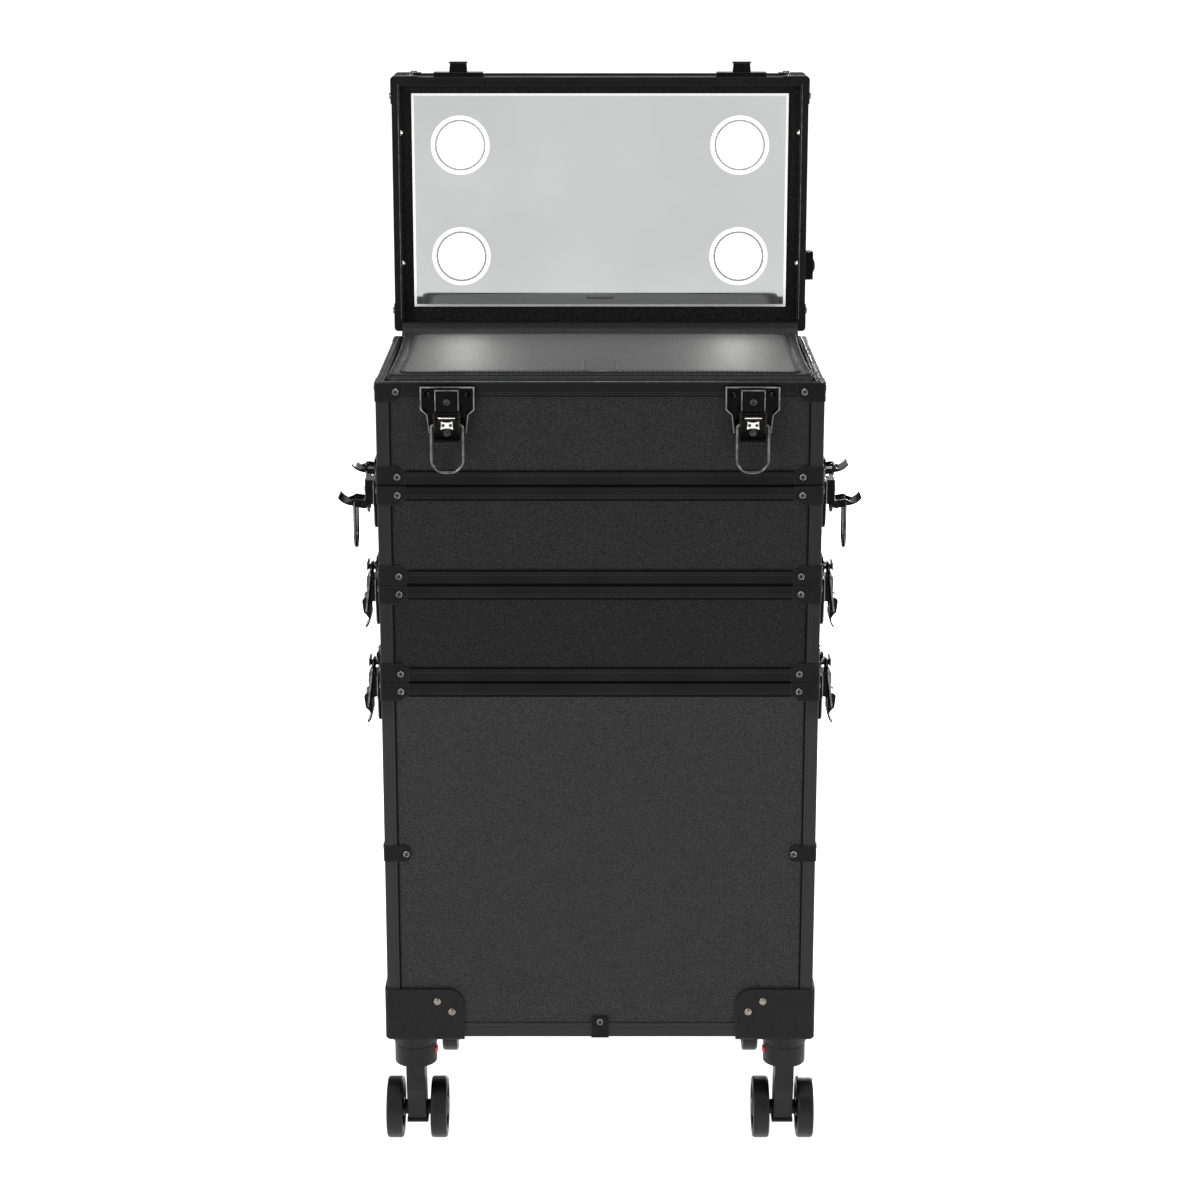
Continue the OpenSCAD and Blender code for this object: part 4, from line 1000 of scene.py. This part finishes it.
arris = new_finish("ground_arris", ARRIS, 0.25, metal=1.0)
mottle(arris, 0.02, ARRIS, ARRIS_PALE)
arris_path = [(-MIRROR_X, MIRROR_Y[0]), (MIRROR_X, MIRROR_Y[0]),
              (MIRROR_X, MIRROR_Y[1]), (-MIRROR_X, MIRROR_Y[1])]
arris_profile = np.array([(0.0, 0.0), (0.0, -0.00005), (ARRIS_WIDE, -0.0002), (ARRIS_WIDE, 0.0), (0.0, 0.0)])
arris_grid = carried(arris_path, arris_profile, closed=True) + [0, 0, MIRROR_Z]
lay("mirror_arris", [opened(arris_grid)], arris, "lid")


def lit(name, glow):
    """White diffuser that gives off light of the given strength."""
    finish = new_finish(name, LAMP_WHITE, 0.4)
    mottle(finish, 0.01, LAMP_WHITE, LAMP_WHITE_PALE)
    shader = finish.node_tree.nodes["Principled BSDF"]
    shader.inputs["Emission Color"].default_value = (*LAMP_TINT, 1)
    shader.inputs["Emission Strength"].default_value = glow
    return finish


lamp_spots = [(x, y, MIRROR_Z) for x in (-LAMP_X, LAMP_X) for y in LAMP_Y]
down = np.tile([0.0, 0.0, -1.0], (4, 1))
core_curve = np.array([(0.0, 0.0001), (CORE_R, 0.0001), (CORE_R, 0.0012), (0.6 * CORE_R, 0.0014),
                       (0.0, 0.0015)])
rim_in = CORE_R - 0.0002
rim_out = GROOVE_R[0]
rim_curve = np.array([(rim_in, 0.0001), (rim_out, 0.0001), (rim_out, 0.0005), (0.97 * rim_out, 0.0009),
                      (0.92 * rim_out, 0.0011), (rim_in, 0.0012), (rim_in, 0.0001)])
ring_turn = np.linspace(0, 2 * np.pi, 13)
ring_mid = (LAMP_R + GROOVE_R[1]) / 2
ring_wide = (LAMP_R - GROOVE_R[1]) / 2
ring_curve = np.stack([ring_mid + np.cos(ring_turn) * ring_wide, 0.0011 + np.sin(ring_turn) * 0.0010], 1)
groove_curve = np.array([(GROOVE_R[0] - 0.0002, 0.0001), (GROOVE_R[1] + 0.0002, 0.0001),
                         (GROOVE_R[1] + 0.0002, 0.0009), (GROOVE_R[0] - 0.0002, 0.0009),
                         (GROOVE_R[0] - 0.0002, 0.0001)])
groove_grey = new_finish("grey_groove", GROOVE, 0.7)
mottle(groove_grey, 0.004, GROOVE, GROOVE_PALE)
core_grids = [opened(revolved(lamp_spots, down, core_curve, turns=LAMP_TURNS))]
lenses = lay("lamp_lenses", core_grids, lit("lit_lens", LENS_GLOW), "lid")
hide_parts("lamps")
ring_grids = [opened(revolved(lamp_spots, down, curve, turns=LAMP_TURNS))
              for curve in (ring_curve, rim_curve)]
lay("lamp_rings", ring_grids, lit("lit_ring", RING_GLOW), "lid")
groove_grids = [opened(revolved(lamp_spots, down, groove_curve, turns=LAMP_TURNS))]
lay("lamp_grooves", groove_grids, groove_grey, "lid")

border_spots = [(sx * BORDER_SCREW_X, y, BORDER_SCREW_Z) for sx in (-1, 1) for y in BORDER_SCREW_Y]
border_outs = [(-np.sign(x), 0, 0) for x, _, _ in border_spots]
border_heads = opened(revolved(border_spots, border_outs, dome(*BORDER_SCREW)))
lay("lid_border_screws", [border_heads], bright, "lid")


# Studio: one large pale floor under a sky that darkens upwards, a soft light over the case, two
# softboxes in front of it and one behind it, and a camera at eye height.
FLOOR_HALF = 150.0
FLOOR_DIM = (0.80, 0.80, 0.80)
FLOOR_PALE = (0.81, 0.81, 0.81)
FLOOR_GLOW = 0.95
WORLD_GLOW = 0.75
WORLD_DIM = 0.05
DIM_FROM = 0.32
DIM_TO = 0.58
SOFTBOXES = {  # place, size, power
    "over": ((0.0, -0.3, 3.2), 3.0, 60.0),
    "left": ((-2.2, -2.4, 2.0), 1.2, 55.0),
    "right": ((2.4, -2.0, 1.6), 1.0, 26.0),
    "back": ((0.6, 2.6, 0.42), 0.8, 42.0)}
AIM = (0.0, 0.0, 0.5)
CAMERA_AT = (0.0, -2.2, 1.07)
CAMERA_DOWN = math.radians(13.93)
CAMERA_LENS = 79.8
CAMERA_SENSOR = 36.0
CAMERA_SHIFT = -0.059

floor_mesh = bpy.data.meshes.new("floor")
floor_edge = FLOOR_HALF * np.array([(-1, -1, 0), (1, -1, 0), (1, 1, 0), (-1, 1, 0)])
floor_mesh.from_pydata(floor_edge.tolist(), [], [(0, 1, 2, 3)])
floor = bpy.data.objects.new("floor", floor_mesh)
bpy.context.scene.collection.objects.link(floor)
floor_paint = new_finish("pale_floor", FLOOR_DIM, 0.9, gloss=0.1)
mottle(floor_paint, 0.4, FLOOR_DIM, FLOOR_PALE)
floor_shader = floor_paint.node_tree.nodes["Principled BSDF"]
floor_shader.inputs["Emission Color"].default_value = (1, 1, 1, 1)
floor_shader.inputs["Emission Strength"].default_value = FLOOR_GLOW
floor_mesh.materials.append(floor_paint)

world = bpy.data.worlds.new("studio")
bpy.context.scene.world = world
world.use_nodes = True
sky = world.node_tree
sky_height = sky.nodes.new("ShaderNodeSeparateXYZ")
sky.links.new(sky.nodes.new("ShaderNodeTexCoord").outputs["Generated"], sky_height.inputs["Vector"])
sky_fade = sky.nodes.new("ShaderNodeMapRange")
sky_steps = {"From Min": DIM_FROM, "From Max": DIM_TO, "To Min": WORLD_GLOW, "To Max": WORLD_DIM}
for socket, value in sky_steps.items():
    sky_fade.inputs[socket].default_value = value
sky.links.new(sky_height.outputs["Z"], sky_fade.inputs["Value"])
sky.links.new(sky_fade.outputs["Result"], sky.nodes["Background"].inputs["Strength"])
sky.nodes["Background"].inputs["Color"].default_value = (1, 1, 1, 1)
bpy.context.scene.view_settings.view_transform = "Standard"

for name, (place, size, power) in SOFTBOXES.items():
    lamp = bpy.data.lights.new(f"softbox_{name}", "AREA")
    lamp.size = size
    lamp.energy = power
    box = bpy.data.objects.new(f"softbox_{name}", lamp)
    box.location = place
    aim = np.array(place) - AIM
    box.rotation_euler = (math.atan2(math.hypot(aim[0], aim[1]), aim[2]), 0, math.atan2(aim[0], -aim[1]))
    bpy.context.scene.collection.objects.link(box)

lens = bpy.data.cameras.new("camera")
lens.lens = CAMERA_LENS
lens.sensor_width = CAMERA_SENSOR
lens.shift_y = CAMERA_SHIFT
camera = bpy.data.objects.new("camera", lens)
camera.location = CAMERA_AT
camera.rotation_euler = (math.pi / 2 - CAMERA_DOWN, 0, 0)
bpy.context.scene.collection.objects.link(camera)
bpy.context.scene.camera = camera
